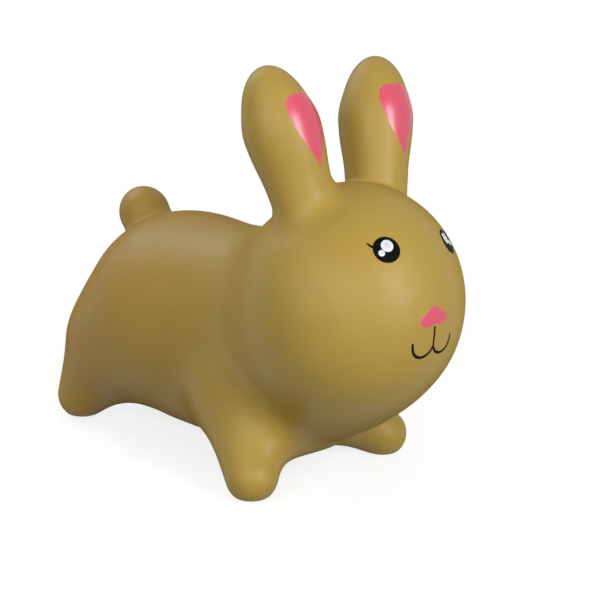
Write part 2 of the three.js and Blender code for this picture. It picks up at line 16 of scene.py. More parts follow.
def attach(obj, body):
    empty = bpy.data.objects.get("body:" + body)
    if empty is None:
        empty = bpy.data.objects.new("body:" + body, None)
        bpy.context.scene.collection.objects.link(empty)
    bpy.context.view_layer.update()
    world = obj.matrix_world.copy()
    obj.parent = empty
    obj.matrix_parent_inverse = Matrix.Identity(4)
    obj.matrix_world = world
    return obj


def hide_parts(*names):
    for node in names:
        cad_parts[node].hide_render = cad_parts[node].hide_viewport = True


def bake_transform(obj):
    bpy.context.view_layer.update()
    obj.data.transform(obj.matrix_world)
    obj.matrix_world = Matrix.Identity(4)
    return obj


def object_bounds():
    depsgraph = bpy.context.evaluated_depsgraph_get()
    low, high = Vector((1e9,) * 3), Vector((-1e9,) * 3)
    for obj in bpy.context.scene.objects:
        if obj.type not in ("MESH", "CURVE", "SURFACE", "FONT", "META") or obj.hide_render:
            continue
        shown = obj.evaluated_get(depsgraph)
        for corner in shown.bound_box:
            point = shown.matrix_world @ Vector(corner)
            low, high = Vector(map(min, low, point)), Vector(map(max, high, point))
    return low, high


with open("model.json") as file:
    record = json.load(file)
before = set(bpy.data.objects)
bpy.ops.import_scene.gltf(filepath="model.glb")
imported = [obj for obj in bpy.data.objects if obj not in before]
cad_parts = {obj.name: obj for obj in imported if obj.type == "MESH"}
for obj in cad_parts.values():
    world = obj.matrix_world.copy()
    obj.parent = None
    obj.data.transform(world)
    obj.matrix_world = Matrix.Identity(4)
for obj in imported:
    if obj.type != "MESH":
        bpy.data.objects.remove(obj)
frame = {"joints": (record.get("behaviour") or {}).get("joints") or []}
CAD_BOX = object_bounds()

LOG = logging.getLogger("rabbit")
MM = 0.001
TINY = 1e-6
UP = Vector((0.0, 0.0, 1.0))
FRONT = Vector((0.0, -1.0, 0.0))

Pair = tuple[float, float]
Triple = tuple[float, float, float]
Outline = list[Pair]


class Side(Enum):
    """The rabbit's own left and right, as signs of X."""

    LEFT = 1
    RIGHT = -1

    @property
    def label(self) -> str:
        """The side's word in piece and body names."""
        return self.name.lower()

    def mirrored(self, point: Sequence[float]) -> Vector:
        """A left-hand point or direction on this side."""
        return Vector((self.value * point[0], point[1], point[2]))


class SocketKind(Enum):
    """Kinds of socket on a node tree's outside."""

    FLOAT = "NodeSocketFloat"
    INT = "NodeSocketInt"
    VECTOR = "NodeSocketVector"
    GEOMETRY = "NodeSocketGeometry"
    MATERIAL = "NodeSocketMaterial"
    OBJECT = "NodeSocketObject"


class Easing(Enum):
    """How a number goes from one height to another."""

    EVEN = "LINEAR"
    SMOOTH = "SMOOTHSTEP"


# Node trees


class Wire:
    """An output socket that takes part in arithmetic by adding nodes to its graph."""

    def __init__(self, graph: "Graph", socket: bpy.types.NodeSocket) -> None:
        """Wraps a socket of a graph."""
        self.graph = graph
        self.socket = socket

    def __add__(self, other: "Operand") -> "Wire":
        """Sum."""
        return self.graph.combine("ADD", self, other)

    def __sub__(self, other: "Operand") -> "Wire":
        """Difference."""
        return self.graph.combine("SUBTRACT", self, other)

    def __mul__(self, other: "Operand") -> "Wire":
        """Product."""
        return self.graph.combine("MULTIPLY", self, other)

    def __truediv__(self, other: "Operand") -> "Wire":
        """Quotient."""
        return self.graph.combine("DIVIDE", self, other)

    def __neg__(self) -> "Wire":
        """Negative."""
        return self.graph.combine("MULTIPLY", self, -1.0)

    def smaller(self, other: "Operand") -> "Wire":
        """The smaller of the two."""
        return self.graph.combine("MINIMUM", self, other)

    def larger(self, other: "Operand") -> "Wire":
        """The larger of the two."""
        return self.graph.combine("MAXIMUM", self, other)

    def power(self, exponent: "Operand") -> "Wire":
        """This to an exponent."""
        return self.graph.combine("POWER", self, exponent)

    def absolute(self) -> "Wire":
        """Size without sign."""
        return self.graph.combine("ABSOLUTE", self)

    def sign(self) -> "Wire":
        """Minus one, nought or one."""
        return self.graph.combine("SIGN", self)

    def root(self) -> "Wire":
        """Square root."""
        return self.graph.combine("SQRT", self)

    def dot(self, other: "Operand") -> "Wire":
        """Dot product of two vectors."""
        return self.graph.combine("DOT_PRODUCT", self, other)

    def length(self) -> "Wire":
        """Length of a vector."""
        return self.graph.combine("LENGTH", self)

    def normalized(self) -> "Wire":
        """A vector's direction."""
        return self.graph.combine("NORMALIZE", self)


SocketKey = str | int
Operand = Wire | float | int | str | Triple | Vector


class Graph:
    """A geometry node tree under construction."""

    SCALAR_RESULTS = ("DOT_PRODUCT", "LENGTH")

    def __init__(self, name: str) -> None:
        """Starts an empty tree.

        Args:
            name: The tree's name.
        """
        self.tree = bpy.data.node_groups.new(name, "GeometryNodeTree")
        self.entry = self.tree.nodes.new("NodeGroupInput")
        self.exit = self.tree.nodes.new("NodeGroupOutput")

    def take(self, name: str, kind: SocketKind) -> Wire:
        """Adds a named input and gives it as a wire inside the tree."""
        self.tree.interface.new_socket(name, in_out="INPUT", socket_type=kind.value)
        return Wire(self, self.entry.outputs[name])

    def take_all(self, kind: SocketKind, *names: str) -> list[Wire]:
        """Adds several named inputs of one kind."""
        return [self.take(name, kind) for name in names]

    def give(self, name: str, kind: SocketKind, wire: Wire) -> None:
        """Adds a named output and feeds it."""
        self.tree.interface.new_socket(name, in_out="OUTPUT", socket_type=kind.value)
        self.plug(self.exit.inputs[name], wire)

    def plug(self, socket: bpy.types.NodeSocket, operand: Operand) -> None:
        """Links a wire to a socket, or sets a constant on it.

        Args:
            socket: The input socket.
            operand: A wire, or a constant that the socket takes.
        """
        if isinstance(operand, Wire):
            self.tree.links.new(operand.socket, socket)
        elif socket.type == "VECTOR" and isinstance(operand, (int, float)):
            socket.default_value = (operand, operand, operand)
        else:
            socket.default_value = operand

    def node(self, kind: str, inputs: Mapping[SocketKey, Operand], **settings: object) -> bpy.types.Node:
        """Adds a node.

        Args:
            kind: The node's type name.
            inputs: What goes to its sockets, by name or place.
            settings: Values of the node's own properties.

        Returns:
            The node.
        """
        made = self.tree.nodes.new(kind)
        for name, value in settings.items():
            setattr(made, name, value)
        for key, operand in inputs.items():
            self.plug(made.inputs[key], operand)
        return made

    def out(self, kind: str, output: SocketKey, inputs: Mapping[SocketKey, Operand],
            **settings: object) -> Wire:
        """Adds a node and gives one of its outputs, by name or place."""
        return Wire(self, self.node(kind, inputs, **settings).outputs[output])

    def combine(self, operation: str, *operands: Operand) -> Wire:
        """Adds a maths node, on vectors where any operand is one.

        Args:
            operation: The maths node's operation.
            operands: What it works on.

        Returns:
            The result.
        """
        inputs = dict(enumerate(operands))
        wires = [operand for operand in operands if isinstance(operand, Wire)]
        if all(wire.socket.type != "VECTOR" for wire in wires):
            return self.out("ShaderNodeMath", 0, inputs, operation=operation)
        output = "Value" if operation in self.SCALAR_RESULTS else "Vector"
        return self.out("ShaderNodeVectorMath", output, inputs, operation=operation)

    def here(self) -> Wire:
        """Where each point of the geometry lies."""
        return self.out("GeometryNodeInputPosition", 0, {})

    def less(self, first: Wire, second: Operand) -> Wire:
        """Whether one number is less than another."""
        return self.out("FunctionNodeCompare", "Result", {0: first, 1: second}, data_type="FLOAT",
                        operation="LESS_THAN")

    def choose(self, test: Wire, when_true: Wire, when_false: Wire) -> Wire:
        """Picks one of two numbers by a test."""
        return self.out("GeometryNodeSwitch", "Output", {0: test, 1: when_false, 2: when_true},
                        input_type="FLOAT")

    def use(self, other: "Graph", inputs: Mapping[str, Operand]) -> Wire:
        """Adds another tree as a group and gives its first output.

        Args:
            other: The tree to use.
            inputs: What goes to its inputs, by name.

        Returns:
            The group's first output.
        """
        made = self.tree.nodes.new("GeometryNodeGroup")
        made.node_tree = other.tree
        for name, operand in inputs.items():
            self.plug(made.inputs[name], operand)
        return Wire(self, made.outputs[0])

    def finish(self, geometry: Wire, material: Wire) -> None:
        """Ends the tree: instances made real, shading smooth, material set.

        Args:
            geometry: The finished geometry.
            material: The material that it takes.
        """
        smooth = self.out("GeometryNodeSetShadeSmooth", 0, {"Geometry": geometry})
        real = self.out("GeometryNodeRealizeInstances", 0, {"Geometry": smooth})
        dressed = self.out("GeometryNodeSetMaterial", 0, {"Geometry": real, "Material": material})
        self.give("Geometry", SocketKind.GEOMETRY, dressed)


def placed(name: str, data: bpy.types.ID) -> bpy.types.Object:
    """Puts a mesh, a lamp or a camera in the scene, unmoved.

    Args:
        name: The object's name.
        data: What it holds; a mesh is in the frame's own coordinates.

    Returns:
        The object.
    """
    piece = bpy.data.objects.new(name, data)
    bpy.context.scene.collection.objects.link(piece)
    return piece


def plain_mesh(draft: bpy.types.Object) -> bpy.types.Mesh:
    """Runs a draft's modifiers once, keeps the result and removes the draft.

    Args:
        draft: The object with the modifiers.

    Returns:
        The result as a plain mesh.
    """
    made = bpy.data.meshes.new_from_object(draft.evaluated_get(bpy.context.evaluated_depsgraph_get()))
    bpy.data.objects.remove(draft)
    return made


def drawn_mesh(name: str, work: bmesh.types.BMesh) -> bpy.types.Mesh:
    """Makes a mesh of a drawing and frees the drawing.

    Args:
        name: The mesh's name.
        work: The drawing.

    Returns:
        The mesh.
    """
    mesh = bpy.data.meshes.new(name)
    work.to_mesh(mesh)
    work.free()
    return mesh


def grown(name: str, graph: Graph, inputs: Mapping[str, object],
          base: bpy.types.Mesh | None = None) -> bpy.types.Mesh:
    """Runs a node tree once and keeps its result as a plain mesh.

    Args:
        name: Name of the mesh.
        graph: The tree to run.
        inputs: Values of the tree's inputs, by name.
        base: The mesh that the tree starts from, if any.

    Returns:
        The mesh that the tree made.
    """
    carrier = placed(name, base or bpy.data.meshes.new(name))
    modifier = carrier.modifiers.new(name, "NODES")
    modifier.node_group = graph.tree
    for item in graph.tree.interface.items_tree:
        if item.in_out == "INPUT" and item.name in inputs:
            value = inputs[item.name]
            modifier[item.identifier] = tuple(value) if isinstance(value, Vector) else value
    made = plain_mesh(carrier)
    made.name = name
    return made


# Distance fields


def ellipsoid_graph() -> Graph:
    """Builds the distance to an ellipsoid.

    Returns:
        A tree with inputs Point, Centre and Radii.
    """
    graph = Graph("ellipsoid_distance")
    point, centre, radii = graph.take_all(SocketKind.VECTOR, "Point", "Centre", "Radii")
    local = (point - centre) / radii + TINY
    share = local.length()
    slope = (local / radii).length()
    graph.give("Distance", SocketKind.FLOAT, share * (share - 1.0) / slope)
    return graph


def spheroid_graph() -> Graph:
    """Builds the distance to an ellipsoid of revolution.

    Returns:
        A tree with inputs Point, Centre, Axis, Radius and Half Length.
    """
    graph = Graph("spheroid_distance")
    point, centre, axis = graph.take_all(SocketKind.VECTOR, "Point", "Centre", "Axis")
    radius, half = graph.take_all(SocketKind.FLOAT, "Radius", "Half Length")
    local = point - centre
    along = local.dot(axis)
    across = (local - axis * along).length() / radius + TINY
    lengthwise = along / half
    share = (across * across + lengthwise * lengthwise).root()
    steep = across / radius
    shallow = lengthwise / half
    slope = (steep * steep + shallow * shallow).root()
    graph.give("Distance", SocketKind.FLOAT, share * (share - 1.0) / slope)
    return graph


def round_cone_graph() -> Graph:
    """Builds the distance to the hull of two balls.

    Returns:
        A tree with inputs Point, Start, End, Start Radius and End Radius.
    """
    graph = Graph("round_cone_distance")
    point, start, end = graph.take_all(SocketKind.VECTOR, "Point", "Start", "End")
    start_radius, end_radius = graph.take_all(SocketKind.FLOAT, "Start Radius", "End Radius")
    along = end - start
    square = along.dot(along)
    taper = start_radius - end_radius
    slant = square - taper * taper
    local = point - start
    rise = local.dot(along)
    over = rise - square
    across = local * square - along * rise
    across2 = across.dot(across)
    rise2 = rise * rise * square
    over2 = over * over * square
    edge = taper.sign() * taper * taper * across2
    past_end = (across2 + over2).root() / square - end_radius
    before_start = (across2 + rise2).root() / square - start_radius
    beside = ((across2 * slant / square).root() + rise * taper) / square - start_radius
    is_before = graph.less(rise.sign() * slant * rise2, edge)
    is_past = graph.less(edge, over.sign() * slant * over2)
    distance = graph.choose(is_past, past_end, graph.choose(is_before, before_start, beside))
    graph.give("Distance", SocketKind.FLOAT, distance)
    return graph


def union_graph() -> Graph:
    """Builds the union of two distances with a fillet between them.

    Returns:
        A tree with inputs First, Second and Width.
    """
    graph = Graph("filleted_union")
    first, second, width = graph.take_all(SocketKind.FLOAT, "First", "Second", "Width")
    near = (width - (first - second).absolute()).larger(0.0) / width
    graph.give("Distance", SocketKind.FLOAT, first.smaller(second) - near * near * width / 4.0)
    return graph


@dataclass(frozen=True)
class Egg:
    """An egg of the body: its middle, and its full width, length and height."""

    centre: Triple
    sizes: Triple

    def inputs(self, name: str) -> dict[str, Vector]:
        """What the skin's tree takes of it, by the names of its inputs."""
        return {f"{name} Centre": Vector(self.centre), f"{name} Radii": Vector(self.sizes) / 2.0}


@dataclass(frozen=True)
class Ball:
    """A ball at one end of a leg."""

    centre: Triple
    radius: float

    def inputs(self, name: str) -> dict[str, Vector | float]:
        """What the skin's tree takes of it, by the names of its inputs."""
        return {name: Vector(self.centre), f"{name} Radius": self.radius}


@dataclass(frozen=True)
class Shape:
    """The rabbit's driving sizes: egg head, saddle-backed body, stubby legs, bob tail and ears."""

    head: Egg = Egg((0.0, -0.149, 0.207), (0.234, 0.232, 0.248))
    rump: Egg = Egg((0.0, 0.135, 0.137), (0.246, 0.246, 0.238))
    chest: Egg = Egg((0.0, -0.034, 0.141), (0.176, 0.294, 0.242))
    belly: Egg = Egg((0.0, 0.060, 0.052), (0.112, 0.320, 0.072))
    torso_blend: float = 0.080
    belly_blend: float = 0.040
    neck_blend: float = 0.060
    shoulder: Ball = Ball((0.050, -0.028, 0.073), 0.046)
    front_foot: Ball = Ball((0.097, -0.099, 0.022), 0.028)
    thigh: Ball = Ball((0.0605, 0.2025, 0.0925), 0.059)
    rear_foot: Ball = Ball((0.0915, 0.2335, 0.0255), 0.031)
    leg_blend: float = 0.050
    sole_rounding: float = 0.004
    tail_elevation: float = math.radians(51.0)
    tail_standoff: float = 0.0155
    tail_width: float = 0.062
    tail_length: float = 0.066
    tail_blend: float = 0.016
    ear_x: float = 0.047
    ear_y: float = -0.135
    ear_sink: float = 0.023
    ear_lean_out: float = math.radians(11.5)
    ear_lean_back: float = math.radians(14.0)
    ear_rise: float = 0.094
    ear_width: float = 0.074
    ear_length: float = 0.133
    ear_stalk_radius: float = 0.031
    ear_stalk_blend: float = 0.010
    ear_left_blend: float = 0.005
    ear_right_blend: float = 0.018
    unevenness: float = 0.0004
    unevenness_pitch: float = 0.060

    @property
    def tail_axis(self) -> Vector:
        """The way that the tail points."""
        return Vector((0.0, math.cos(self.tail_elevation), math.sin(self.tail_elevation)))

    @property
    def tail_centre(self) -> Vector:
        """The tail's middle, a little way out of the rump's own skin."""
        scaled = Vector(2.0 * a / s for a, s in zip(self.tail_axis, self.rump.sizes))
        return Vector(self.rump.centre) + self.tail_axis * (1.0 / scaled.length + self.tail_standoff)

    @property
    def ear_axis(self) -> Vector:
        """The way that the left ear points."""
        return Vector((math.sin(self.ear_lean_out), math.sin(self.ear_lean_back), 1.0)).normalized()

    @property
    def ear_root(self) -> Vector:
        """Finds the left ear's root, under the skin on top of the head.

        Returns:
            The root.
        """
        centre, sizes = self.head.centre, self.head.sizes
        across = 2.0 * (self.ear_x - centre[0]) / sizes[0]
        along = 2.0 * (self.ear_y - centre[1]) / sizes[1]
        top = centre[2] + 0.5 * sizes[2] * math.sqrt(1.0 - across**2 - along**2)
        return Vector((self.ear_x, self.ear_y, top - self.ear_sink))

    def along_ear(self, side: Side, distance: float) -> Vector:
        """A point on an ear's axis, at a distance from its root."""
        return side.mirrored(self.ear_root + self.ear_axis * distance)

    def inputs(self) -> dict[str, Vector | float]:
        """The places, directions and lengths that the skin's tree takes, by the names of its inputs."""
        return {
            **self.head.inputs("Head"), **self.rump.inputs("Rump"), **self.chest.inputs("Chest"),
            **self.belly.inputs("Belly"), **self.shoulder.inputs("Shoulder"),
            **self.front_foot.inputs("Front Foot"), **self.thigh.inputs("Thigh"),
            **self.rear_foot.inputs("Rear Foot"), "Torso Blend": self.torso_blend,
            "Belly Blend": self.belly_blend, "Neck Blend": self.neck_blend, "Leg Blend": self.leg_blend,
            "Sole Rounding": self.sole_rounding, "Tail Centre": self.tail_centre, "Tail Axis": self.tail_axis,
            "Tail Radius": self.tail_width / 2.0, "Tail Half Length": self.tail_length / 2.0,
            "Tail Blend": self.tail_blend, "Ear Root": self.ear_root,
            "Ear Centre": self.ear_root + self.ear_axis * self.ear_rise, "Ear Axis": self.ear_axis,
            "Ear Radius": self.ear_width / 2.0, "Ear Half Length": self.ear_length / 2.0,
            "Ear Stalk Radius": self.ear_stalk_radius, "Ear Stalk Blend": self.ear_stalk_blend,
            "Ear Left Blend": self.ear_left_blend, "Ear Right Blend": self.ear_right_blend,
            "Unevenness": self.unevenness, "Unevenness Pitch": self.unevenness_pitch}


class SkinField:
    """The distance to the whole skin as a node tree, and its inputs."""

    MIRROR = (-1.0, 1.0, 1.0)
    EGG_BLENDS = (("Chest", "Torso"), ("Belly", "Belly"), ("Head", "Neck"))
    LEGS = (("Shoulder", "Front Foot"), ("Thigh", "Rear Foot"))

    def __init__(self, shape: Shape) -> None:
        """Builds the tree.

        Args:
            shape: The rabbit's sizes.
        """
        self.inputs = shape.inputs()
        self.ellipsoid = ellipsoid_graph()
        self.spheroid = spheroid_graph()
        self.cone = round_cone_graph()
        self.union = union_graph()
        self.graph = Graph("skin_distance")
        self._build()

    def take_sizes(self, graph: Graph) -> dict[str, Wire]:
        """Every size as a named input of a tree."""
        return {name: graph.take(name, SocketKind.VECTOR if isinstance(value, Vector) else SocketKind.FLOAT)
                for name, value in self.inputs.items()}

    def _join(self, first: Wire, second: Wire, width: Wire) -> Wire:
        """Two distances with a fillet between them."""
        return self.graph.use(self.union, {"First": first, "Second": second, "Width": width})

    def _egg(self, point: Wire, sizes: Mapping[str, Wire], name: str) -> Wire:
        """Distance to one of the four eggs of the body."""
        return self.graph.use(self.ellipsoid, {"Point": point, "Centre": sizes[f"{name} Centre"],
                                               "Radii": sizes[f"{name} Radii"]})

    def _bob(self, point: Wire, sizes: Mapping[str, Wire], name: str) -> Wire:
        """Distance to the tail or to an ear's blade."""
        return self.graph.use(self.spheroid, {"Point": point} | {
            part: sizes[f"{name} {part}"] for part in ("Centre", "Axis", "Radius", "Half Length")})

    def _leg(self, point: Wire, sizes: Mapping[str, Wire], top: str, foot: str) -> Wire:
        """Distance to a leg."""
        return self.graph.use(self.cone, {"Point": point, "Start": sizes[top], "End": sizes[foot],
                                          "Start Radius": sizes[f"{top} Radius"],
                                          "End Radius": sizes[f"{foot} Radius"]})

    def _ear(self, point: Wire, sizes: Mapping[str, Wire]) -> Wire:
        """Builds the distance to an ear: a blade on a stalk.

        Args:
            point: Where to look.
            sizes: The skin's inputs.

        Returns:
            The distance.
        """
        blade = self._bob(point, sizes, "Ear")
        stalk = self.graph.use(self.cone, {
            "Point": point, "Start": sizes["Ear Root"], "End": sizes["Ear Centre"],
            "Start Radius": sizes["Ear Stalk Radius"], "End Radius": sizes["Ear Radius"]})
        return self._join(blade, stalk, sizes["Ear Stalk Blend"])

    def _build(self) -> None:
        """Joins the eggs, legs, tail and ears, and flattens the soles."""
        graph = self.graph
        point = graph.take("Point", SocketKind.VECTOR)
        sizes = self.take_sizes(graph)
        flipped = point * self.MIRROR
        skin = self._egg(point, sizes, "Rump")
        for egg, blend in self.EGG_BLENDS:
            skin = self._join(skin, self._egg(point, sizes, egg), sizes[f"{blend} Blend"])
        for top, foot in self.LEGS:
            for place in (point, flipped):
                skin = self._join(skin, self._leg(place, sizes, top, foot), sizes["Leg Blend"])
        skin = self._join(skin, self._bob(point, sizes, "Tail"), sizes["Tail Blend"])
        for place, side in ((point, "Left"), (flipped, "Right")):
            skin = self._join(skin, self._ear(place, sizes), sizes[f"Ear {side} Blend"])
        lumps = graph.out("ShaderNodeTexNoise", "Fac", {
            "Vector": point / sizes["Unevenness Pitch"], "Scale": 1.0, "Detail": 1.0}, noise_dimensions="3D")
        skin = skin + (lumps * 2.0 - 1.0) * sizes["Unevenness"]
        height = graph.out("ShaderNodeSeparateXYZ", "Z", {0: point})
        graph.give("Distance", SocketKind.FLOAT, -self._join(-skin, height, sizes["Sole Rounding"]))


class SkinProbe:
    """The distance to the skin and its slope, inside a tree that takes the skin's sizes."""

    TETRAHEDRON = ((1.0, -1.0, -1.0), (-1.0, -1.0, 1.0), (-1.0, 1.0, -1.0), (1.0, 1.0, 1.0))
    STEP = 0.3 * MM

    def __init__(self, graph: Graph, skin: SkinField) -> None:
        """Adds the skin's sizes to a tree's inputs.

        Args:
            graph: The tree.
            skin: The distance to the skin.
        """
        self.graph = graph
        self.skin = skin
        self.sizes = skin.take_sizes(graph)

    def distance(self, point: Wire) -> Wire:
        """How far a point lies outside the skin."""
        return self.graph.use(self.skin.graph, {**self.sizes, "Point": point})

    def slope(self, point: Wire) -> Wire:
        """Builds the way out of the skin at a point, from four samples around it.

        Args:
            point: Where to look.

        Returns:
            The direction.
        """
        pulls = []
        for corner in self.TETRAHEDRON:
            distance = self.distance(point + tuple(self.STEP * c for c in corner))
            pulls.append(self.graph.out("FunctionNodeInputVector", "Vector", {}, vector=corner) * distance)
        return sum(pulls[1:], pulls[0]).normalized()


@dataclass
class Skin:
    """The one seamless vinyl skin: body, head, legs and tail in one piece, and the two ears as pieces of
    their own.
    """

    shape: Shape
    material: bpy.types.Material
    voxel: float = 3.0 * MM
    margin: float = 12.0 * MM
    relax_passes: int = 12
    settle_passes: int = 3
    band: float = 10.0
    threshold: float = 0.5
    weld: float = 1e-7
    normal_slack: float = 0.2
    ear_part_rise: float = 34.0 * MM
    ear_bend_start: float = 36.0 * MM
    ear_bend_end: float = 96.0 * MM
    ear_reach: float = 60.0 * MM
    root_body: str = "body"
    root_nodes: tuple[str, ...] = ("torso", "head", "front_leg_left", "front_leg_right", "rear_leg_left",
                                   "rear_leg_right", "tail")
    NORMAL = "skin_normal"
    REGION = "region"

    @staticmethod
    def _settle(probe: SkinProbe, mesh: Wire, passes: Wire, even_out: bool) -> Wire:
        """Moves a mesh onto the skin, over and over.

        Args:
            probe: The skin, in the tree to add to.
            mesh: The mesh to move.
            passes: How many times.
            even_out: Whether the points also even out their spacing.

        Returns:
            The moved mesh.
        """
        graph = probe.graph
        start = graph.tree.nodes.new("GeometryNodeRepeatInput")
        end = graph.tree.nodes.new("GeometryNodeRepeatOutput")
        start.pair_with_output(end)
        graph.plug(start.inputs["Iterations"], passes)
        graph.plug(start.inputs["Geometry"], mesh)
        moving = Wire(graph, start.outputs["Geometry"])
        if even_out:
            even = graph.out("GeometryNodeBlurAttribute", "Value", {
                "Value": graph.here(), "Iterations": 1, "Weight": 1.0}, data_type="FLOAT_VECTOR")
            moving = graph.out("GeometryNodeSetPosition", 0, {"Geometry": moving, "Position": even})
        here = graph.here()
        step = probe.slope(here) * probe.distance(here)
        moving = graph.out("GeometryNodeSetPosition", 0, {"Geometry": moving, "Offset": -step})
        graph.plug(end.inputs["Geometry"], moving)
        return Wire(graph, end.outputs["Geometry"])

    def _tree(self, skin: SkinField) -> Graph:
        """Builds the tree that meshes the skin.

        Args:
            skin: The distance to the skin.

        Returns:
            The tree.
        """
        graph = Graph("inflated_skin")
        probe = SkinProbe(graph, skin)
        low, high = graph.take_all(SocketKind.VECTOR, "Lowest", "Highest")
        voxel = graph.take("Voxel", SocketKind.FLOAT)
        relax, settle = graph.take_all(SocketKind.INT, "Relax Passes", "Settle Passes")
        material = graph.take("Material", SocketKind.MATERIAL)
        density = probe.distance(graph.here()) / (voxel * -self.band) + self.threshold
        counts = graph.node("ShaderNodeSeparateXYZ", {0: (high - low) / voxel})
        resolution = {f"Resolution {axis}": Wire(graph, counts.outputs[axis]) for axis in "XYZ"}
        cube = graph.out("GeometryNodeVolumeCube", 0, {
            "Density": density.larger(0.0).smaller(1.0), "Background": 0.0, "Min": low, "Max": high,
            **resolution})
        mesh = graph.out("GeometryNodeVolumeToMesh", 0, {
            "Volume": cube, "Threshold": self.threshold, "Adaptivity": 0.0}, resolution_mode="GRID")
        mesh = self._settle(probe, mesh, relax, even_out=True)
        mesh = self._settle(probe, mesh, settle, even_out=False)
        graph.finish(mesh, material)
        return graph

    def _facing_tree(self, skin: SkinField) -> Graph:
        """Builds the tree that notes the way out of the skin at each point that lies on it.

        Args:
            skin: The distance to the skin.

        Returns:
            The tree.
        """
        graph = Graph("skin_facing")
        mesh = graph.take("Geometry", SocketKind.GEOMETRY)
        probe = SkinProbe(graph, skin)
        material = graph.take("Material", SocketKind.MATERIAL)
        here = graph.here()
        on_skin = graph.less(probe.distance(here).absolute(), probe.STEP)
        mesh = graph.out("GeometryNodeStoreNamedAttribute", 0, {
            "Geometry": mesh, "Selection": on_skin, "Name": self.NORMAL, "Value": probe.slope(here)},
            data_type="FLOAT_VECTOR", domain="POINT")
        graph.finish(mesh, material)
        return graph

    def _well(self, mesh: bpy.types.Mesh, valve: "AirValve") -> bpy.types.Mesh:
        """Sinks the valve's well into the skin.

        Args:
            mesh: The closed skin.
            valve: The valve that sits in the well.

        Returns:
            The skin with the well in it.
        """
        body = placed("skin_uncut", mesh)
        cutter = placed("valve_well", valve.well_mesh())
        cut = body.modifiers.new("well", "BOOLEAN")
        cut.operation = "DIFFERENCE"
        cut.solver = "EXACT"
        cut.object = cutter
        made = plain_mesh(body)
        bpy.data.objects.remove(cutter)
        return made

    def _on_ear(self, side: Side, point: Vector) -> bool:
        """Tells whether a point lies on an ear, past the line where the ear parts from the head.

        Args:
            side: Which ear.
            point: The point.

        Returns:
            Whether it does.
        """
        local = point - self.shape.along_ear(side, 0.0)
        axis = side.mirrored(self.shape.ear_axis)
        along = local.dot(axis)
        return along > self.ear_part_rise and (local - axis * along).length < self.ear_reach

    def _part(self, mesh: bpy.types.Mesh) -> bmesh.types.BMesh:
        """Cuts the skin across both ear stalks and notes which faces lie on which ear.

        Args:
            mesh: The whole skin.

        Returns:
            The skin, each face of an ear holding its side's number.
        """
        work = bmesh.new()
        work.from_mesh(mesh)
        region = work.faces.layers.int.new(self.REGION)
        for side in Side:
            centre = self.shape.along_ear(side, self.ear_part_rise)
            axis = side.mirrored(self.shape.ear_axis)
            near = [face for face in work.faces
                    if (face.calc_center_median() - centre).length < self.ear_reach]
            edges = dict.fromkeys(edge for face in near for edge in face.edges)
            corners = dict.fromkeys(corner for face in near for corner in face.verts)
            bmesh.ops.bisect_plane(work, geom=[*near, *edges, *corners], dist=self.weld, plane_co=centre,
                                   plane_no=axis)
            for face in work.faces:
                if self._on_ear(side, face.calc_center_median()):
                    face[region] = side.value
        return work

    def _take(self, work: bmesh.types.BMesh, name: str, value: int) -> bpy.types.Object:
        """Makes one region of the parted skin a closed piece.

        Args:
            work: The parted skin.
            name: The piece's name.
            value: The number that the region's faces hold.

        Returns:
            The piece.
        """
        part = work.copy()
        region = part.faces.layers.int[self.REGION]
        others = [face for face in part.faces if face[region] != value]
        bmesh.ops.delete(part, geom=others, context="FACES")
        rim = [edge for edge in part.edges if edge.is_boundary]
        for edge in rim:
            edge.smooth = False
        for face in bmesh.ops.holes_fill(part, edges=rim, sides=0)["faces"]:
            face.smooth = False
        mesh = drawn_mesh(name, part)
        mesh.materials.append(self.material)
        self._shade(mesh)
        return placed(name, mesh)

    def _shade(self, mesh: bpy.types.Mesh) -> None:
        """Gives a piece of the skin the field's own normals, so that its parts shade as one.

        Args:
            mesh: The piece's mesh.
        """
        facing = np.zeros(len(mesh.vertices) * 3, np.float32)
        mesh.attributes[self.NORMAL].data.foreach_get("vector", facing)
        corner = np.zeros(len(mesh.loops), np.int32)
        mesh.loops.foreach_get("vertex_index", corner)
        own = np.zeros(len(mesh.loops) * 3, np.float32)
        mesh.corner_normals.foreach_get("vector", own)
        wanted = facing.reshape(-1, 3)[corner]
        wrong = np.abs(np.linalg.norm(wanted, axis=1) - 1.0) > self.normal_slack
        for face in mesh.polygons:
            if not face.use_smooth:
                wrong[face.loop_start:face.loop_start + face.loop_total] = True
        wanted[wrong] = own.reshape(-1, 3)[wrong]
        mesh.normals_split_custom_set(wanted.tolist())

    def build(self, valve: "AirValve") -> dict[str, bpy.types.Object]:
        """Makes the skin's pieces and sets the body's skin to ride on the body.

        Args:
            valve: The valve, for which the skin has a well.

        Returns:
            The pieces: the body's skin under "body", and each ear's under its side's word.
        """
        skin = SkinField(self.shape)
        margin = Vector((self.margin,) * 3)
        whole = grown("skin", self._tree(skin), {
            **skin.inputs, "Lowest": CAD_BOX[0] - margin, "Highest": CAD_BOX[1] + margin,
            "Voxel": self.voxel, "Relax Passes": self.relax_passes, "Settle Passes": self.settle_passes,
            "Material": self.material})
        corners = [vertex.co for vertex in whole.vertices]
        valve.seat_on(BVHTree.FromPolygons(corners, [face.vertices for face in whole.polygons]))
        faced = grown("skin", self._facing_tree(skin), {**skin.inputs, "Material": self.material},
                      self._well(whole, valve))
        work = self._part(faced)
        pieces = {self.root_body: self._take(work, "body_skin", 0)}
        for side in Side:
            pieces[side.label] = self._take(work, f"ear_{side.label}_skin", side.value)
        work.free()
        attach(pieces[self.root_body], self.root_body)
        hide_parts(*self.root_nodes)
        for side in Side:
            self.bend_with_ear(pieces[side.label], side)
            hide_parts(f"ear_{side.label}")
        return pieces

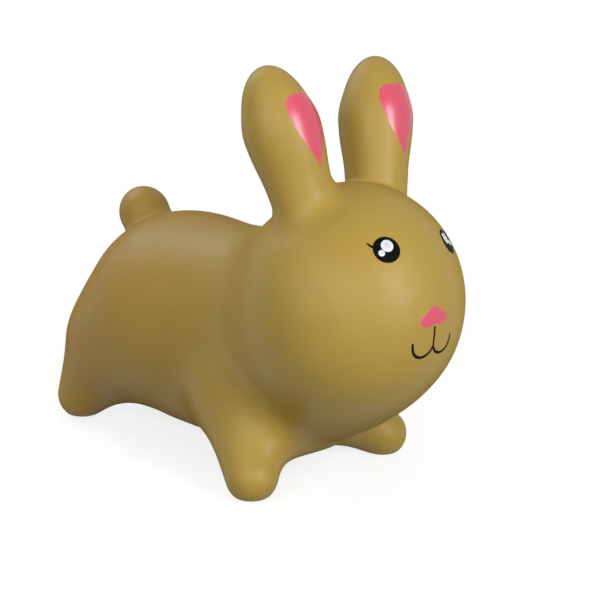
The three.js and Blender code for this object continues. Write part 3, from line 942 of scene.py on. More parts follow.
    def bend_with_ear(self, piece: bpy.types.Object, side: Side) -> None:
        """Finds two points up an ear, which are not used, and bakes the piece's place into its mesh.

        Args:
            piece: The ear's skin, or a mark on it.
            side: Which ear.
        """
        self.shape.along_ear(side, self.ear_bend_start)
        self.shape.along_ear(side, self.ear_bend_end)
        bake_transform(piece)


# Painted marks


def smooth_loop(points: Outline, steps: int) -> Outline:
    """A closed smooth curve through a few points.

    Args:
        points: The points, in order round the loop.
        steps: How many points each stretch is divided into.

    Returns:
        The curve's points.
    """
    loop = []
    count = len(points)
    for i in range(count):
        before, start, end, after = (Vector(points[(i + k) % count]) for k in (-1, 0, 1, 2))
        for step in range(steps):
            t = step / steps
            way = (end - before) * 0.5
            leave = (after - start) * 0.5
            spot = (start * (2 * t**3 - 3 * t**2 + 1) + way * (t**3 - 2 * t**2 + t)
                    + end * (3 * t**2 - 2 * t**3) + leave * (t**3 - t**2))
            loop.append((spot.x, spot.y))
    return loop


def smooth_path(points: Outline, steps: int) -> Outline:
    """An open smooth curve through a few points.

    Args:
        points: The points, in order.
        steps: How many points each stretch is divided into.

    Returns:
        The curve's points, with both ends.
    """
    first = Vector(points[0]) * 2 - Vector(points[1])
    last = Vector(points[-1]) * 2 - Vector(points[-2])
    loop = smooth_loop([tuple(first), *points, tuple(last)], steps)
    return loop[steps:steps * len(points) + 1]


def bezier(corners: Sequence[Vector], steps: int) -> Outline:
    """A cubic curve's points, with both ends.

    Args:
        corners: The curve's four control points.
        steps: How many steps it is divided into.

    Returns:
        The points.
    """
    path = []
    for step in range(steps + 1):
        t = step / steps
        shares = ((1 - t) ** 3, 3 * t * (1 - t) ** 2, 3 * t**2 * (1 - t), t**3)
        path.append(tuple(sum((c * share for c, share in zip(corners, shares)), Vector((0.0, 0.0)))))
    return path


def oval(width: float, height: float, centre: Pair, count: int) -> Outline:
    """An ellipse's points, anticlockwise.

    Args:
        width: Its full width.
        height: Its full height.
        centre: Its middle.
        count: How many points.

    Returns:
        The points.
    """
    turns = [2 * math.pi * i / count for i in range(count)]
    return [(centre[0] + width / 2 * math.cos(a), centre[1] + height / 2 * math.sin(a)) for a in turns]


class FilmMesh:
    """A flat, closed film under construction: a top sheet and an under sheet that share their rim."""

    SHARE = "rim_share"
    SHEET = "sheet"
    TOP = 1.0
    UNDER = -1.0
    CROWN = 12.0

    def __init__(self) -> None:
        """Starts an empty film."""
        self.points: list[Triple] = []
        self.shares: list[float] = []
        self.sheets: list[float] = []
        self.faces: list[tuple[int, ...]] = []

    def _point(self, spot: Vector, share: float, sheet: float) -> int:
        """Adds a point.

        Args:
            spot: Where it lies.
            share: How far out it lies, from nought in the middle to one on the rim.
            sheet: Which sheet it belongs to.

        Returns:
            The point's number.
        """
        self.points.append((spot.x, spot.y, 0.0))
        self.shares.append(share)
        self.sheets.append(sheet)
        return len(self.points) - 1

    def _quad(self, corners: tuple[int, ...], sheet: float) -> None:
        """Adds a face that looks out of its sheet."""
        self.faces.append(corners if sheet > 0 else tuple(reversed(corners)))

    def add_patch(self, outline: Outline, centre: Pair, rings: int) -> None:
        """Adds a patch whose rim is an outline that its centre sees all of.

        Args:
            outline: The rim, anticlockwise.
            centre: The point that the rings shrink to.
            rings: How many rings.
        """
        middle = Vector(centre)
        edge = [Vector(point) for point in outline]
        rim = [self._point(spot, 1.0, self.TOP) for spot in edge]
        count = len(edge)
        for sheet in (self.TOP, self.UNDER):
            outer = rim
            for ring in range(rings - 1, 0, -1):
                share = ring / rings
                inner = [self._point(middle.lerp(spot, share), share, sheet) for spot in edge]
                for i in range(count):
                    j = (i + 1) % count
                    self._quad((inner[i], outer[i], outer[j], inner[j]), sheet)
                outer = inner
            tip = self._point(middle, 0.0, sheet)
            for i in range(count):
                self._quad((tip, outer[i], outer[(i + 1) % count]), sheet)

    def add_stroke(self, path: Outline, widths: Sequence[float], columns: int) -> None:
        """Adds a brush line of changing width.

        Args:
            path: The line's middle.
            widths: Its width at each point of the path.
            columns: How many columns of faces lie across it.
        """
        spots = [Vector(point) for point in path]
        rows: dict[float, list[list[int]]] = {self.TOP: [], self.UNDER: []}
        for i, spot in enumerate(spots):
            ahead = (spots[min(i + 1, len(spots) - 1)] - spots[max(i - 1, 0)]).normalized()
            across = Vector((ahead.y, -ahead.x)) * (widths[i] / 2)
            end = i in (0, len(spots) - 1)
            top_row = []
            under_row = []
            for column in range(columns + 1):
                offset = 2 * column / columns - 1
                share = 1.0 if end else abs(offset)
                place = spot + across * offset
                top = self._point(place, share, self.TOP)
                top_row.append(top)
                under_row.append(top if share == 1.0 else self._point(place, share, self.UNDER))
            rows[self.TOP].append(top_row)
            rows[self.UNDER].append(under_row)
        for sheet, grid in rows.items():
            for low, high in zip(grid, grid[1:]):
                for column in range(columns):
                    self._quad((low[column], low[column + 1], high[column + 1], high[column]), sheet)

    def mesh(self, name: str, place: Matrix) -> bpy.types.Mesh:
        """Makes the film a mesh, still flat, where it faces the skin.

        Args:
            name: The mesh's name.
            place: The film's place: +Z out of the skin.

        Returns:
            The mesh.
        """
        made = bpy.data.meshes.new(name)
        made.from_pydata(self.points, [], self.faces)
        for label, values in ((self.SHARE, self.shares), (self.SHEET, self.sheets)):
            made.attributes.new(label, "FLOAT", "POINT").data.foreach_set("value", values)
        for edge in made.edges:
            edge.use_edge_sharp = all(self.shares[i] == 1.0 for i in edge.vertices)
        made.transform(place)
        return made


def film_graph() -> Graph:
    """Builds the tree that lays a flat film on the skin.

    Returns:
        A tree with inputs Geometry, Skin, Aim, Stand Off, Thickness, Lift, Sink and Material.
    """
    graph = Graph("film_on_skin")
    flat = graph.take("Geometry", SocketKind.GEOMETRY)
    skin = graph.take("Skin", SocketKind.OBJECT)
    aim = graph.take("Aim", SocketKind.VECTOR)
    off, thickness, lift, sink = graph.take_all(SocketKind.FLOAT, "Stand Off", "Thickness", "Lift", "Sink")
    material = graph.take("Material", SocketKind.MATERIAL)
    share, sheet = (graph.out("GeometryNodeInputNamedAttribute", 0, {"Name": name}, data_type="FLOAT")
                    for name in (FilmMesh.SHARE, FilmMesh.SHEET))
    facing = graph.out("GeometryNodeInputNamedAttribute", 0, {"Name": Skin.NORMAL}, data_type="FLOAT_VECTOR")
    target = graph.out("GeometryNodeObjectInfo", "Geometry", {"Object": skin}, transform_space="ORIGINAL")
    ray = graph.node("GeometryNodeRaycast", {
        "Target Geometry": target, "Attribute": facing, "Source Position": graph.here() - aim * off,
        "Ray Direction": aim, "Ray Length": off * 2.0}, data_type="FLOAT_VECTOR")
    hit, normal = (Wire(graph, ray.outputs[name]) for name in ("Hit Position", "Attribute"))
    crown = (-share.power(FilmMesh.CROWN) + 1.0) * thickness + lift
    height = crown * (sheet + 1.0) / 2.0 + sink * (sheet - 1.0) / 2.0
    spot = hit + normal.normalized() * height
    laid = graph.out("GeometryNodeSetPosition", 0, {"Geometry": flat, "Position": spot})
    graph.finish(laid, material)
    return graph


@dataclass
class PaintedMarks:
    """The sprayed marks: eyes with a lash and two glints, a nose, a mouth, and a heart on each ear."""

    skin: Skin
    pieces: Mapping[str, bpy.types.Object]
    black: bpy.types.Material
    line: bpy.types.Material
    white: bpy.types.Material
    pink: bpy.types.Material
    film_tree: Graph = field(default_factory=film_graph)
    thickness: float = 0.25 * MM
    rim_dip: float = 0.03 * MM
    sink: float = 0.3 * MM
    stand_off: float = 40.0 * MM
    rim_points: int = 96
    rings: int = 10
    curve_steps: int = 10
    columns: int = 8
    tip_points: int = 24
    tip_rings: int = 3
    eye_places: tuple[tuple[Side, float, float], ...] = ((Side.LEFT, 55.3 * MM, 69.0 * MM),
                                                         (Side.RIGHT, -36.6 * MM, 75.8 * MM))
    eye_width: float = 28.5 * MM
    eye_height: float = 28.0 * MM
    lash_reach: float = 4.2 * MM
    lash_lift: float = 4.3 * MM
    lash_bend: Pair = (1 / 3, 1 / 5)
    lash_width: float = 3.3 * MM
    lash_tip: float = 1.7 * MM
    lash_rise: float = 4.0 * MM
    glint_points: int = 48
    glint_rings: int = 5
    glint_wide: float = 12.6 * MM
    glint_wide_in: float = 1.2 * MM
    glint_wide_up: float = 3.7 * MM
    glint_small: float = 6.6 * MM
    glint_small_out: float = 5.8 * MM
    glint_small_down: float = 3.4 * MM
    nose_rise: float = 9.0 * MM
    nose_half: tuple[Pair, ...] = ((6.0 * MM, 8.1 * MM), (11.4 * MM, 4.2 * MM), (17.0 * MM, 1.2 * MM),
                                   (19.7 * MM, -2.8 * MM), (17.2 * MM, -7.8 * MM), (9.5 * MM, -10.0 * MM))
    nose_top: float = 10.0 * MM
    nose_bottom: float = -8.7 * MM
    mouth_rise: float = -21.3 * MM
    mouth_steps: int = 40
    mouth_stem: float = 20.0 * MM
    mouth_half_width: float = 26.5 * MM
    mouth_sag: float = 15.0 * MM
    mouth_start: float = 1 / 6
    mouth_upturn: float = 1 / 3
    mouth_line: float = 3.3 * MM
    mouth_line_thin: float = 2.7 * MM
    heart_rise: float = 89.7 * MM
    heart_height: float = 78.0 * MM
    heart_steps: int = 30
    heart_shoulder: float = 21.0 * MM
    heart_notch: float = 3.3 * MM
    heart_flank: float = 1 / 2
    heart_lobe: float = 1 / 4
    heart_middle: float = 1 / 8
    heart_tip_steps: int = 2
    heart_places: tuple[tuple[Side, float, float, float], ...] = ((Side.LEFT, 44.5 * MM, -1.0, 9.5),
                                                                  (Side.RIGHT, 43.0 * MM, 12.0, 1.0))

    def _face_place(self, face: BVHTree, x: float, rise: float) -> Matrix:
        """Finds the place on the face ahead of a point: +Z out of the skin, +Y up it.

        Args:
            face: The body's skin.
            x: How far to the rabbit's left.
            rise: How far above the head's middle.

        Returns:
            The place.
        """
        centre = Vector(self.skin.shape.head.centre)
        spot, normal, *_ = face.ray_cast(Vector((x, centre.y, centre.z + rise)), FRONT)
        across = UP.cross(normal).normalized()
        turned_to = Matrix((across, normal.cross(across), normal)).transposed()
        return Matrix.Translation(spot) @ turned_to.to_4x4()

    def _ear_place(self, side: Side, turn: float, roll: float) -> Matrix:
        """Finds the place on the front of an ear, turned round the ear's axis and rolled on its skin.

        Args:
            side: Which ear.
            turn: Degrees that the place turns towards the other ear.
            roll: Degrees that it rolls.

        Returns:
            The place.
        """
        ear = BVHTree.FromObject(self.pieces[side.label], bpy.context.evaluated_depsgraph_get())
        axis = side.mirrored(self.skin.shape.ear_axis)
        level = (FRONT - axis * FRONT.dot(axis)).normalized()
        normal = Matrix.Rotation(math.radians(-turn * side.value), 3, axis) @ level
        spot, *_ = ear.ray_cast(self.skin.shape.along_ear(side, self.heart_rise), normal)
        turned_to = Matrix((axis.cross(normal), axis, normal)).transposed()
        rolled = Matrix.Rotation(math.radians(roll * side.value), 4, "Z")
        return Matrix.Translation(spot) @ turned_to.to_4x4() @ rolled

    def _lay(self, name: str, film: FilmMesh, place: Matrix, carrier: bpy.types.Object,
             material: bpy.types.Material, layer: int = 0) -> bpy.types.Object:
        """Lays a film on the skin.

        Args:
            name: The name of the node that it stands for.
            film: The flat film.
            place: Where it faces the skin.
            carrier: The piece of skin under it.
            material: Its paint.
            layer: How many films lie under it.

        Returns:
            The painted mark.
        """
        mesh = grown(name, self.film_tree, {
            "Skin": carrier, "Aim": -place.col[2].to_3d(), "Stand Off": self.stand_off,
            "Thickness": self.thickness, "Lift": layer * self.thickness - self.rim_dip, "Sink": self.sink,
            "Material": material}, film.mesh(name, place))
        return placed(f"painted_{name}", mesh)

    def _add_tip(self, film: FilmMesh, spot: Pair, width: float) -> None:
        """Adds the round tip of a brush line."""
        film.add_patch(oval(width, width, spot, self.tip_points), spot, self.tip_rings)

    def _eye_film(self, side: Side) -> FilmMesh:
        """Draws a round eye with a lash at its outer corner.

        Args:
            side: Which eye.

        Returns:
            The film.
        """
        film = FilmMesh()
        middle = (0.0, 0.0)
        film.add_patch(oval(self.eye_width, self.eye_height, middle, self.rim_points), middle, self.rings)
        edge = self.eye_width / 2 * math.sqrt(1 - (2 * self.lash_rise / self.eye_height) ** 2)
        out, up = self.lash_bend
        lash = [(edge - self.lash_width, self.lash_rise - self.lash_width / 2),
                (edge + self.lash_reach * out, self.lash_rise + self.lash_lift * up),
                (edge + self.lash_reach, self.lash_rise + self.lash_lift)]
        path = smooth_path([(side.value * x, y) for x, y in lash], self.curve_steps)
        last = len(path) - 1
        taper = self.lash_tip - self.lash_width
        film.add_stroke(path, [self.lash_width + taper * i / last for i in range(last + 1)], self.columns)
        self._add_tip(film, path[-1], self.lash_tip)
        return film

    def _glint_film(self, size: float, centre: Pair) -> FilmMesh:
        """Draws a round glint.

        Args:
            size: How wide it is.
            centre: Where its middle lies on the eye.

        Returns:
            The film.
        """
        film = FilmMesh()
        film.add_patch(oval(size, size, centre, self.glint_points), centre, self.glint_rings)
        return film

    def _nose_film(self) -> FilmMesh:
        """Draws a wide nose with a domed top, drooping wings and a flat foot.

        Returns:
            The film.
        """
        left = [(-x, y) for x, y in self.nose_half]
        points = [(0.0, self.nose_top), *left, (0.0, self.nose_bottom), *reversed(self.nose_half)]
        film = FilmMesh()
        film.add_patch(smooth_loop(points, self.curve_steps), (0.0, 0.0), self.rings)
        return film

    def _mouth_film(self) -> FilmMesh:
        """Draws a stem that parts into two upturned lines.

        Returns:
            The film.
        """
        film = FilmMesh()
        shares = [i / self.mouth_steps for i in range(self.mouth_steps + 1)]
        stem = [(0.0, self.mouth_stem * (1 - share)) for share in shares]
        film.add_stroke(stem, [self.mouth_line_thin] * len(stem), self.columns)
        swell = self.mouth_line - self.mouth_line_thin
        widths = [self.mouth_line_thin + swell * math.sin(math.pi * share) for share in shares]
        for side in Side:
            half = side.value * self.mouth_half_width
            corners = ((0.0, 0.0), (half * self.mouth_start, -self.mouth_sag), (half, -self.mouth_sag),
                       (half, self.mouth_sag * self.mouth_upturn))
            lip = bezier([Vector(corner) for corner in corners], self.mouth_steps)
            film.add_stroke(lip, widths, self.columns)
            self._add_tip(film, lip[-1], self.mouth_line_thin)
        return film

    def _heart_film(self, width: float) -> FilmMesh:
        """Draws a long heart with a blunt tip.

        Args:
            width: How wide it is.

        Returns:
            The film.
        """
        half, top = width / 2, self.heart_height / 2
        tip = Vector((0.0, -top))
        widest = Vector((half, top - self.heart_shoulder))
        flank = (tip, Vector((half * self.heart_flank, -top * self.heart_flank)), Vector((half, 0.0)), widest)
        lobe = (widest, Vector((half, top)), Vector((half * self.heart_lobe, top + self.heart_notch)),
                Vector((0.0, top - self.heart_notch)))
        right = bezier(flank, self.heart_steps)[self.heart_tip_steps:-1] + bezier(lobe, self.heart_steps)
        left = [(-x, y) for x, y in reversed(right[:-1])]
        left += bezier((Vector(left[-1]), tip, tip, Vector(right[0])), self.curve_steps)[1:-1]
        film = FilmMesh()
        film.add_patch(right + left, (0.0, self.heart_height * self.heart_middle), self.rings)
        return film

    def build(self) -> list[bpy.types.Object]:
        """Makes every mark, sets the face marks to ride on the body and hides the part that each mark stands
        for.

        Returns:
            The marks.
        """
        body = self.pieces[self.skin.root_body]
        face = BVHTree.FromObject(body, bpy.context.evaluated_depsgraph_get())
        films = []
        for side, x, rise in self.eye_places:
            place = self._face_place(face, x, rise)
            wide = self._glint_film(self.glint_wide, (-side.value * self.glint_wide_in, self.glint_wide_up))
            small = self._glint_film(self.glint_small,
                                     (side.value * self.glint_small_out, -self.glint_small_down))
            films += [(f"eye_{side.label}", self._eye_film(side), place, self.black, 0, "paint_black"),
                      (f"eye_glint_large_{side.label}", wide, place, self.white, 1, "paint_white"),
                      (f"eye_glint_small_{side.label}", small, place, self.white, 1, "paint_white")]
        nose_place = self._face_place(face, 0.0, self.nose_rise)
        mouth_place = self._face_place(face, 0.0, self.mouth_rise)
        films += [("nose", self._nose_film(), nose_place, self.pink, 0, "paint_pink"),
                  ("mouth", self._mouth_film(), mouth_place, self.line, 0, "paint_black")]
        marks = []
        for name, film, place, material, layer, slot in films:
            mark = self._lay(name, film, place, body, material, layer)
            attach(mark, self.skin.root_body)
            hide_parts(name)
            marks.append(mark)
        for side, width, turn, roll in self.heart_places:
            name = f"ear_heart_{side.label}"
            mark = self._lay(name, self._heart_film(width), self._ear_place(side, turn, roll),
                             self.pieces[side.label], self.pink)
            self.skin.bend_with_ear(mark, side)
            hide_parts(name)
            marks.append(mark)
        return marks


# Air valve


def turned(name: str, profile: Outline, segments: int, place: Matrix) -> bpy.types.Mesh:
    """Turns a profile round an axis.

    Args:
        name: The mesh's name.
        profile: Distances from the axis and heights along it, going round the section anticlockwise. A
            profile that starts and ends on the axis is closed by it, and any other closes on itself.
        segments: How many steps round.
        place: Where the axis stands.

    Returns:
        The mesh.
    """
    work = bmesh.new()
    turns = [2 * math.pi * i / segments for i in range(segments)]
    rows = []
    for radius, height in profile:
        rows.append([work.verts.new((radius * math.cos(a), radius * math.sin(a), height))
                     for a in (turns[:1] if radius == 0.0 else turns)])
    on_axis = len(rows[0]) == 1
    for low, high in zip(rows, rows[1:] if on_axis else rows[1:] + rows[:1]):
        for i in range(segments):
            j = (i + 1) % segments
            corners = [low[i % len(low)], low[j % len(low)], high[j % len(high)], high[i % len(high)]]
            work.faces.new(list(dict.fromkeys(corners))).smooth = True
    bmesh.ops.recalc_face_normals(work, faces=work.faces)
    mesh = drawn_mesh(name, work)
    mesh.transform(place)
    return mesh


def rounded(corners: Sequence[Triple], steps: int) -> Outline:
    """A profile whose corners are rounded off.

    Args:
        corners: Each corner's distance from the axis, its height and its rounding.
        steps: How many steps a rounding has.

    Returns:
        The profile.
    """
    profile = []
    count = len(corners)
    for i, (x, y, rounding) in enumerate(corners):
        if rounding == 0.0:
            profile.append((x, y))
            continue
        here = Vector((x, y))
        back = (Vector(corners[i - 1][:2]) - here).normalized() * rounding
        ahead = (Vector(corners[(i + 1) % count][:2]) - here).normalized() * rounding
        for step in range(steps + 1):
            t = step / steps
            spot = here + back * (1 - t) ** 2 + ahead * t**2
            profile.append((spot.x, spot.y))
    return profile


def rib_graph() -> Graph:
    """Builds the ribs round a stem, along +Z from the origin.

    Returns:
        A tree with inputs Stem Radius, Rise, Pitch, Count, Ring Points, Bead Points and Material.
    """
    graph = Graph("plug_ribs")
    radius, rise, pitch = graph.take_all(SocketKind.FLOAT, "Stem Radius", "Rise", "Pitch")
    count, ring_points, bead_points = graph.take_all(SocketKind.INT, "Count", "Ring Points", "Bead Points")
    material = graph.take("Material", SocketKind.MATERIAL)
    step = graph.out("ShaderNodeCombineXYZ", 0, {"Z": pitch})
    line = graph.out("GeometryNodeMeshLine", 0, {"Count": count, "Offset": step}, mode="OFFSET")
    ring, bead = (graph.out("GeometryNodeCurvePrimitiveCircle", 0, {"Resolution": points, "Radius": size},
                            mode="RADIUS")
                  for points, size in ((ring_points, radius), (bead_points, rise)))
    rib = graph.out("GeometryNodeCurveToMesh", 0, {"Curve": ring, "Profile Curve": bead})
    ribs = graph.out("GeometryNodeInstanceOnPoints", 0, {"Points": line, "Instance": rib})
    graph.finish(ribs, material)
    return graph


@dataclass
class AirValve:
    """The air valve under the tail: a flanged grommet in the skin and a ribbed push-in plug."""

    rump_centre: Triple
    grommet_finish: bpy.types.Material
    plug_finish: bpy.types.Material
    elevation: float = math.radians(17.0)
    joint: str = "valve_plug_pull"
    segments: int = 64
    rounding_steps: int = 5
    hole_radius: float = 6.3 * MM
    well_depth: float = 16.0 * MM
    sleeve_radius: float = 6.0 * MM
    bore_radius: float = 3.6 * MM
    flange_radius: float = 11.0 * MM
    flange_low: float = -0.8 * MM
    flange_face: float = 1.9 * MM
    grommet_length: float = 14.0 * MM
    edge: float = 0.7 * MM
    plug_seat: float = 2.2 * MM
    plug_head_radius: float = 7.5 * MM
    plug_head_thickness: float = 1.8 * MM
    plug_dimple_radius: float = 4.6 * MM
    plug_dimple: float = 0.5 * MM
    plug_dimple_edge: float = 0.35 * MM
    stem_radius: float = 3.0 * MM
    stem_length: float = 13.0 * MM
    rib_rise: float = 0.3 * MM
    rib_pitch: float = 4.0 * MM
    rib_count: int = 2
    rib_ring_points: int = 48
    rib_bead_points: int = 12
    place: Matrix = field(default_factory=Matrix)

    def seat_on(self, skin: BVHTree) -> None:
        """Finds the valve's place on the rump.

        Args:
            skin: The whole skin.
        """
        aim = Vector((0.0, math.cos(self.elevation), math.sin(self.elevation)))
        spot, *_ = skin.ray_cast(Vector(self.rump_centre), aim)
        axis = next(Vector(joint["axis"]) for joint in frame["joints"] if joint["name"] == self.joint)
        self.place = Matrix.Translation(spot) @ axis.to_track_quat("Z", "Y").to_matrix().to_4x4()

    def well_mesh(self) -> bpy.types.Mesh:
        """The solid that sinks the valve's well into the skin."""
        profile = [(0.0, -self.well_depth), (self.hole_radius, -self.well_depth),
                   (self.hole_radius, self.well_depth), (0.0, self.well_depth)]
        return turned("valve_well", profile, self.segments, self.place)

    def _grommet(self) -> bpy.types.Object:
        """Makes a sleeve with a rounded flange.

        Returns:
            The grommet.
        """
        corners = [(self.bore_radius, -self.grommet_length, 0.0),
                   (self.sleeve_radius, -self.grommet_length, 0.0),
                   (self.sleeve_radius, self.flange_low, 0.0), (self.flange_radius, self.flange_low, 0.0),
                   (self.flange_radius, self.flange_face, self.edge),
                   (self.bore_radius, self.flange_face, self.edge)]
        mesh = turned("air_valve_grommet", rounded(corners, self.rounding_steps), self.segments, self.place)
        mesh.materials.append(self.grommet_finish)
        return placed("air_valve_grommet", mesh)

    def _plug(self) -> bpy.types.Object:
        """Makes a head with rounded rims and a shallow dimple, and a ribbed stem.

        Returns:
            The plug.
        """
        foot = self.plug_seat - self.stem_length
        top = self.plug_seat + self.plug_head_thickness
        dimple = top - self.plug_dimple
        corners = [(0.0, foot, 0.0), (self.stem_radius, foot, self.edge),
                   (self.stem_radius, self.plug_seat, 0.0),
                   (self.plug_head_radius, self.plug_seat, self.edge),
                   (self.plug_head_radius, top, self.edge),
                   (self.plug_dimple_radius, top, self.plug_dimple_edge),
                   (self.plug_dimple_radius - self.plug_dimple, dimple, self.plug_dimple_edge),
                   (0.0, dimple, 0.0)]
        mesh = turned("air_valve_plug", rounded(corners, self.rounding_steps), self.segments, self.place)
        mesh.materials.append(self.plug_finish)
        ribs = grown("plug_ribs", rib_graph(), {
            "Stem Radius": self.stem_radius, "Rise": self.rib_rise, "Pitch": self.rib_pitch,
            "Count": self.rib_count, "Ring Points": self.rib_ring_points, "Bead Points": self.rib_bead_points,
            "Material": self.plug_finish})
        lowest = self.plug_seat - self.rib_count * self.rib_pitch
        ribs.transform(self.place @ Matrix.Translation((0.0, 0.0, lowest)))
        work = bmesh.new()
        work.from_mesh(mesh)
        work.from_mesh(ribs)
        work.to_mesh(mesh)
        work.free()
        return placed("air_valve_plug", mesh)

    def build(self) -> list[bpy.types.Object]:
        """Makes the grommet and the plug, and sets what they ride on.

        Returns:
            Both pieces.
        """
        pieces = []
        for piece, body, node, slot in ((self._grommet(), "body", "valve_grommet", "valve_seat"),
                                        (self._plug(), "valve_stopper", "valve_plug", "valve_stopper")):
            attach(piece, body)
            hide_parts(node)
            pieces.append(piece)
        return pieces


# Finishes


class Shading(Graph):
    """The shader nodes of a material or of the studio's surround, under construction."""

    def __init__(self, owner: bpy.types.Material | bpy.types.World) -> None:
        """Starts with no nodes.

        Args:
            owner: What the nodes belong to.
        """
        owner.use_nodes = True
        self.tree = owner.node_tree
        self.tree.nodes.clear()

    def place(self) -> Wire:
        """Where a point lies in the piece's own coordinates."""
        return self.out("ShaderNodeTexCoord", "Object", {})

    def noise(self, place: Wire, pitch: float, detail: float) -> Wire:
        """Soft noise from nought to one, in lumps of a given size."""
        return self.out("ShaderNodeTexNoise", "Fac", {
            "Vector": place, "Scale": 1.0 / pitch, "Detail": detail})

    def rise(self, value: Wire, span: Pair, heights: Pair = (0.0, 1.0),
             easing: Easing = Easing.SMOOTH) -> Wire:
        """Builds a number that goes from one height to another while a value crosses a span.

        Args:
            value: What crosses the span.
            span: The span's ends.
            heights: The number at each end.
            easing: How it goes from one to the other.

        Returns:
            The number.
        """
        return self.out("ShaderNodeMapRange", 0, {
            "Value": value, "From Min": span[0], "From Max": span[1], "To Min": heights[0],
            "To Max": heights[1]}, interpolation_type=easing.value)

    def ramp(self, share: Wire, low: Triple, high: Triple, span: Pair) -> Wire:
        """Builds a colour between two, as a share goes over a span.

        Args:
            share: What picks the colour.
            low: The colour where the share is below the span.
            high: The colour where it is above.
            span: The span's ends.

        Returns:
            The colour.
        """
        made = self.node("ShaderNodeValToRGB", {"Fac": share})
        for element, colour, position in zip(made.color_ramp.elements, (low, high), span):
            element.color = (*colour, 1.0)
            element.position = position
        return Wire(self, made.outputs["Color"])

    def bump(self, height: Wire, depth: float) -> Wire:
        """A normal that follows a relief of a given depth."""
        return self.out("ShaderNodeBump", "Normal", {"Height": height, "Strength": 1.0, "Distance": depth})

    def mix(self, share: Wire, first: Wire, second: Wire) -> Wire:
        """One shader, giving way to another by a share."""
        return self.out("ShaderNodeMixShader", 0, {0: share, 1: first, 2: second})


@dataclass(frozen=True)
class Finish:
    """A finish that makes one material from the place on a piece."""

    name: str

    def material(self) -> bpy.types.Material:
        """Makes the material.

        Returns:
            The material.
        """
        made = bpy.data.materials.new(self.name)
        sheet = Shading(made)
        surface = sheet.out("ShaderNodeBsdfPrincipled", "BSDF", self._sockets(sheet, sheet.place()))
        sheet.node("ShaderNodeOutputMaterial", {"Surface": surface})
        return made

    def _sockets(self, sheet: Shading, place: Wire) -> dict[str, Operand]:
        """What goes to the surface's sockets, by name; each kind of finish has its own."""
        raise NotImplementedError


@dataclass(frozen=True)
class SoftVinyl(Finish):
    """Satin moulded vinyl: faint clouds, painted shade browner at the rump, dull rims, soft dents and a fine
    peel.
    """

    name: str = "tan_vinyl"
    # Brown is the darker end of the clouds and of the painted shade towards the rump; olive is the paler end,
    # towards the front.
    brown: Triple = (0.386, 0.231, 0.040)
    olive: Triple = (0.396, 0.267, 0.050)
    colour_span: Pair = (0.2, 0.8)
    drift_places: Pair = (0.20, -0.08)
    drift_shares: Pair = (0.25, 0.75)
    cloudiness: float = 0.7
    cloud_share: float = 0.7
    cloud_pitch: float = 0.090
    cloud_detail: float = 3.0
    patch_share: float = 0.3
    patch_pitch: float = 0.028
    patch_detail: float = 4.0
    dent_pitch: float = 0.016
    dent_depth: float = 0.0006
    dent_detail: float = 1.0
    peel_pitch: float = 0.0016
    peel_depth: float = 0.00003
    peel_detail: float = 2.0
    gloss_low: float = 0.38
    gloss_spread: float = 0.12
    rim_span: Pair = (0.55, 1.0)
    rim_dulling: float = 0.6
    specular: float = 0.30

    def _sockets(self, sheet: Shading, place: Wire) -> dict[str, Operand]:
        """Builds what goes to the vinyl's sockets.

        Args:
            sheet: The material's nodes.
            place: The place on the piece.

        Returns:
            The sockets by name.
        """
        clouds = sheet.noise(place, self.cloud_pitch, self.cloud_detail)
        patches = sheet.noise(place, self.patch_pitch, self.patch_detail)
        # Painted shade: along the body the colour turns browner and darker towards the rump, standing in for
        # the shade on that side.
        along = sheet.out("ShaderNodeSeparateXYZ", "Y", {"Vector": place})
        painted_shade = sheet.rise(along, self.drift_places, self.drift_shares)
        mottle = clouds * self.cloud_share + patches * self.patch_share - 0.5
        colour = sheet.ramp(painted_shade + mottle * self.cloudiness, self.brown, self.olive, self.colour_span)
        dents = sheet.noise(place, self.dent_pitch, self.dent_detail)
        peel = sheet.noise(place, self.peel_pitch, self.peel_detail)
        relief = dents + peel * (self.peel_depth / self.dent_depth)
        facing = sheet.out("ShaderNodeLayerWeight", "Facing", {})
        rim = sheet.rise(facing, self.rim_span, easing=Easing.EVEN)
        gloss = patches * self.gloss_spread + self.gloss_low + rim * self.rim_dulling
        return {"Base Color": colour, "Roughness": gloss, "Normal": sheet.bump(relief, self.dent_depth),
                "Specular IOR Level": self.specular}


@dataclass(frozen=True)
class SprayedPaint(Finish):
    """Glossy sprayed paint: a touch thinner at its rim, uneven in gloss, with a fine ripple."""

    middle: Triple
    rim: Triple
    rim_span: Pair = (0.30, 0.92)
    unevenness: float = 0.1
    specular: float = 0.5
    gloss_low: float = 0.14
    gloss_spread: float = 0.10
    patch_pitch: float = 0.008
    patch_detail: float = 3.0
    ripple_pitch: float = 0.0035
    ripple_depth: float = 0.00004
    ripple_detail: float = 1.0

    def _sockets(self, sheet: Shading, place: Wire) -> dict[str, Operand]:
        """Builds what goes to the paint's sockets.

        Args:
            sheet: The material's nodes.
            place: The place on the piece.

        Returns:
            The sockets by name.
        """
        share = sheet.out("ShaderNodeAttribute", "Fac", {}, attribute_name=FilmMesh.SHARE)
        patches = sheet.noise(place, self.patch_pitch, self.patch_detail)
        colour = sheet.ramp(share + (patches - 0.5) * self.unevenness, self.middle, self.rim, self.rim_span)
        ripple = sheet.noise(place, self.ripple_pitch, self.ripple_detail)
        return {"Base Color": colour, "Roughness": patches * self.gloss_spread + self.gloss_low,
                "Normal": sheet.bump(ripple, self.ripple_depth), "Specular IOR Level": self.specular}


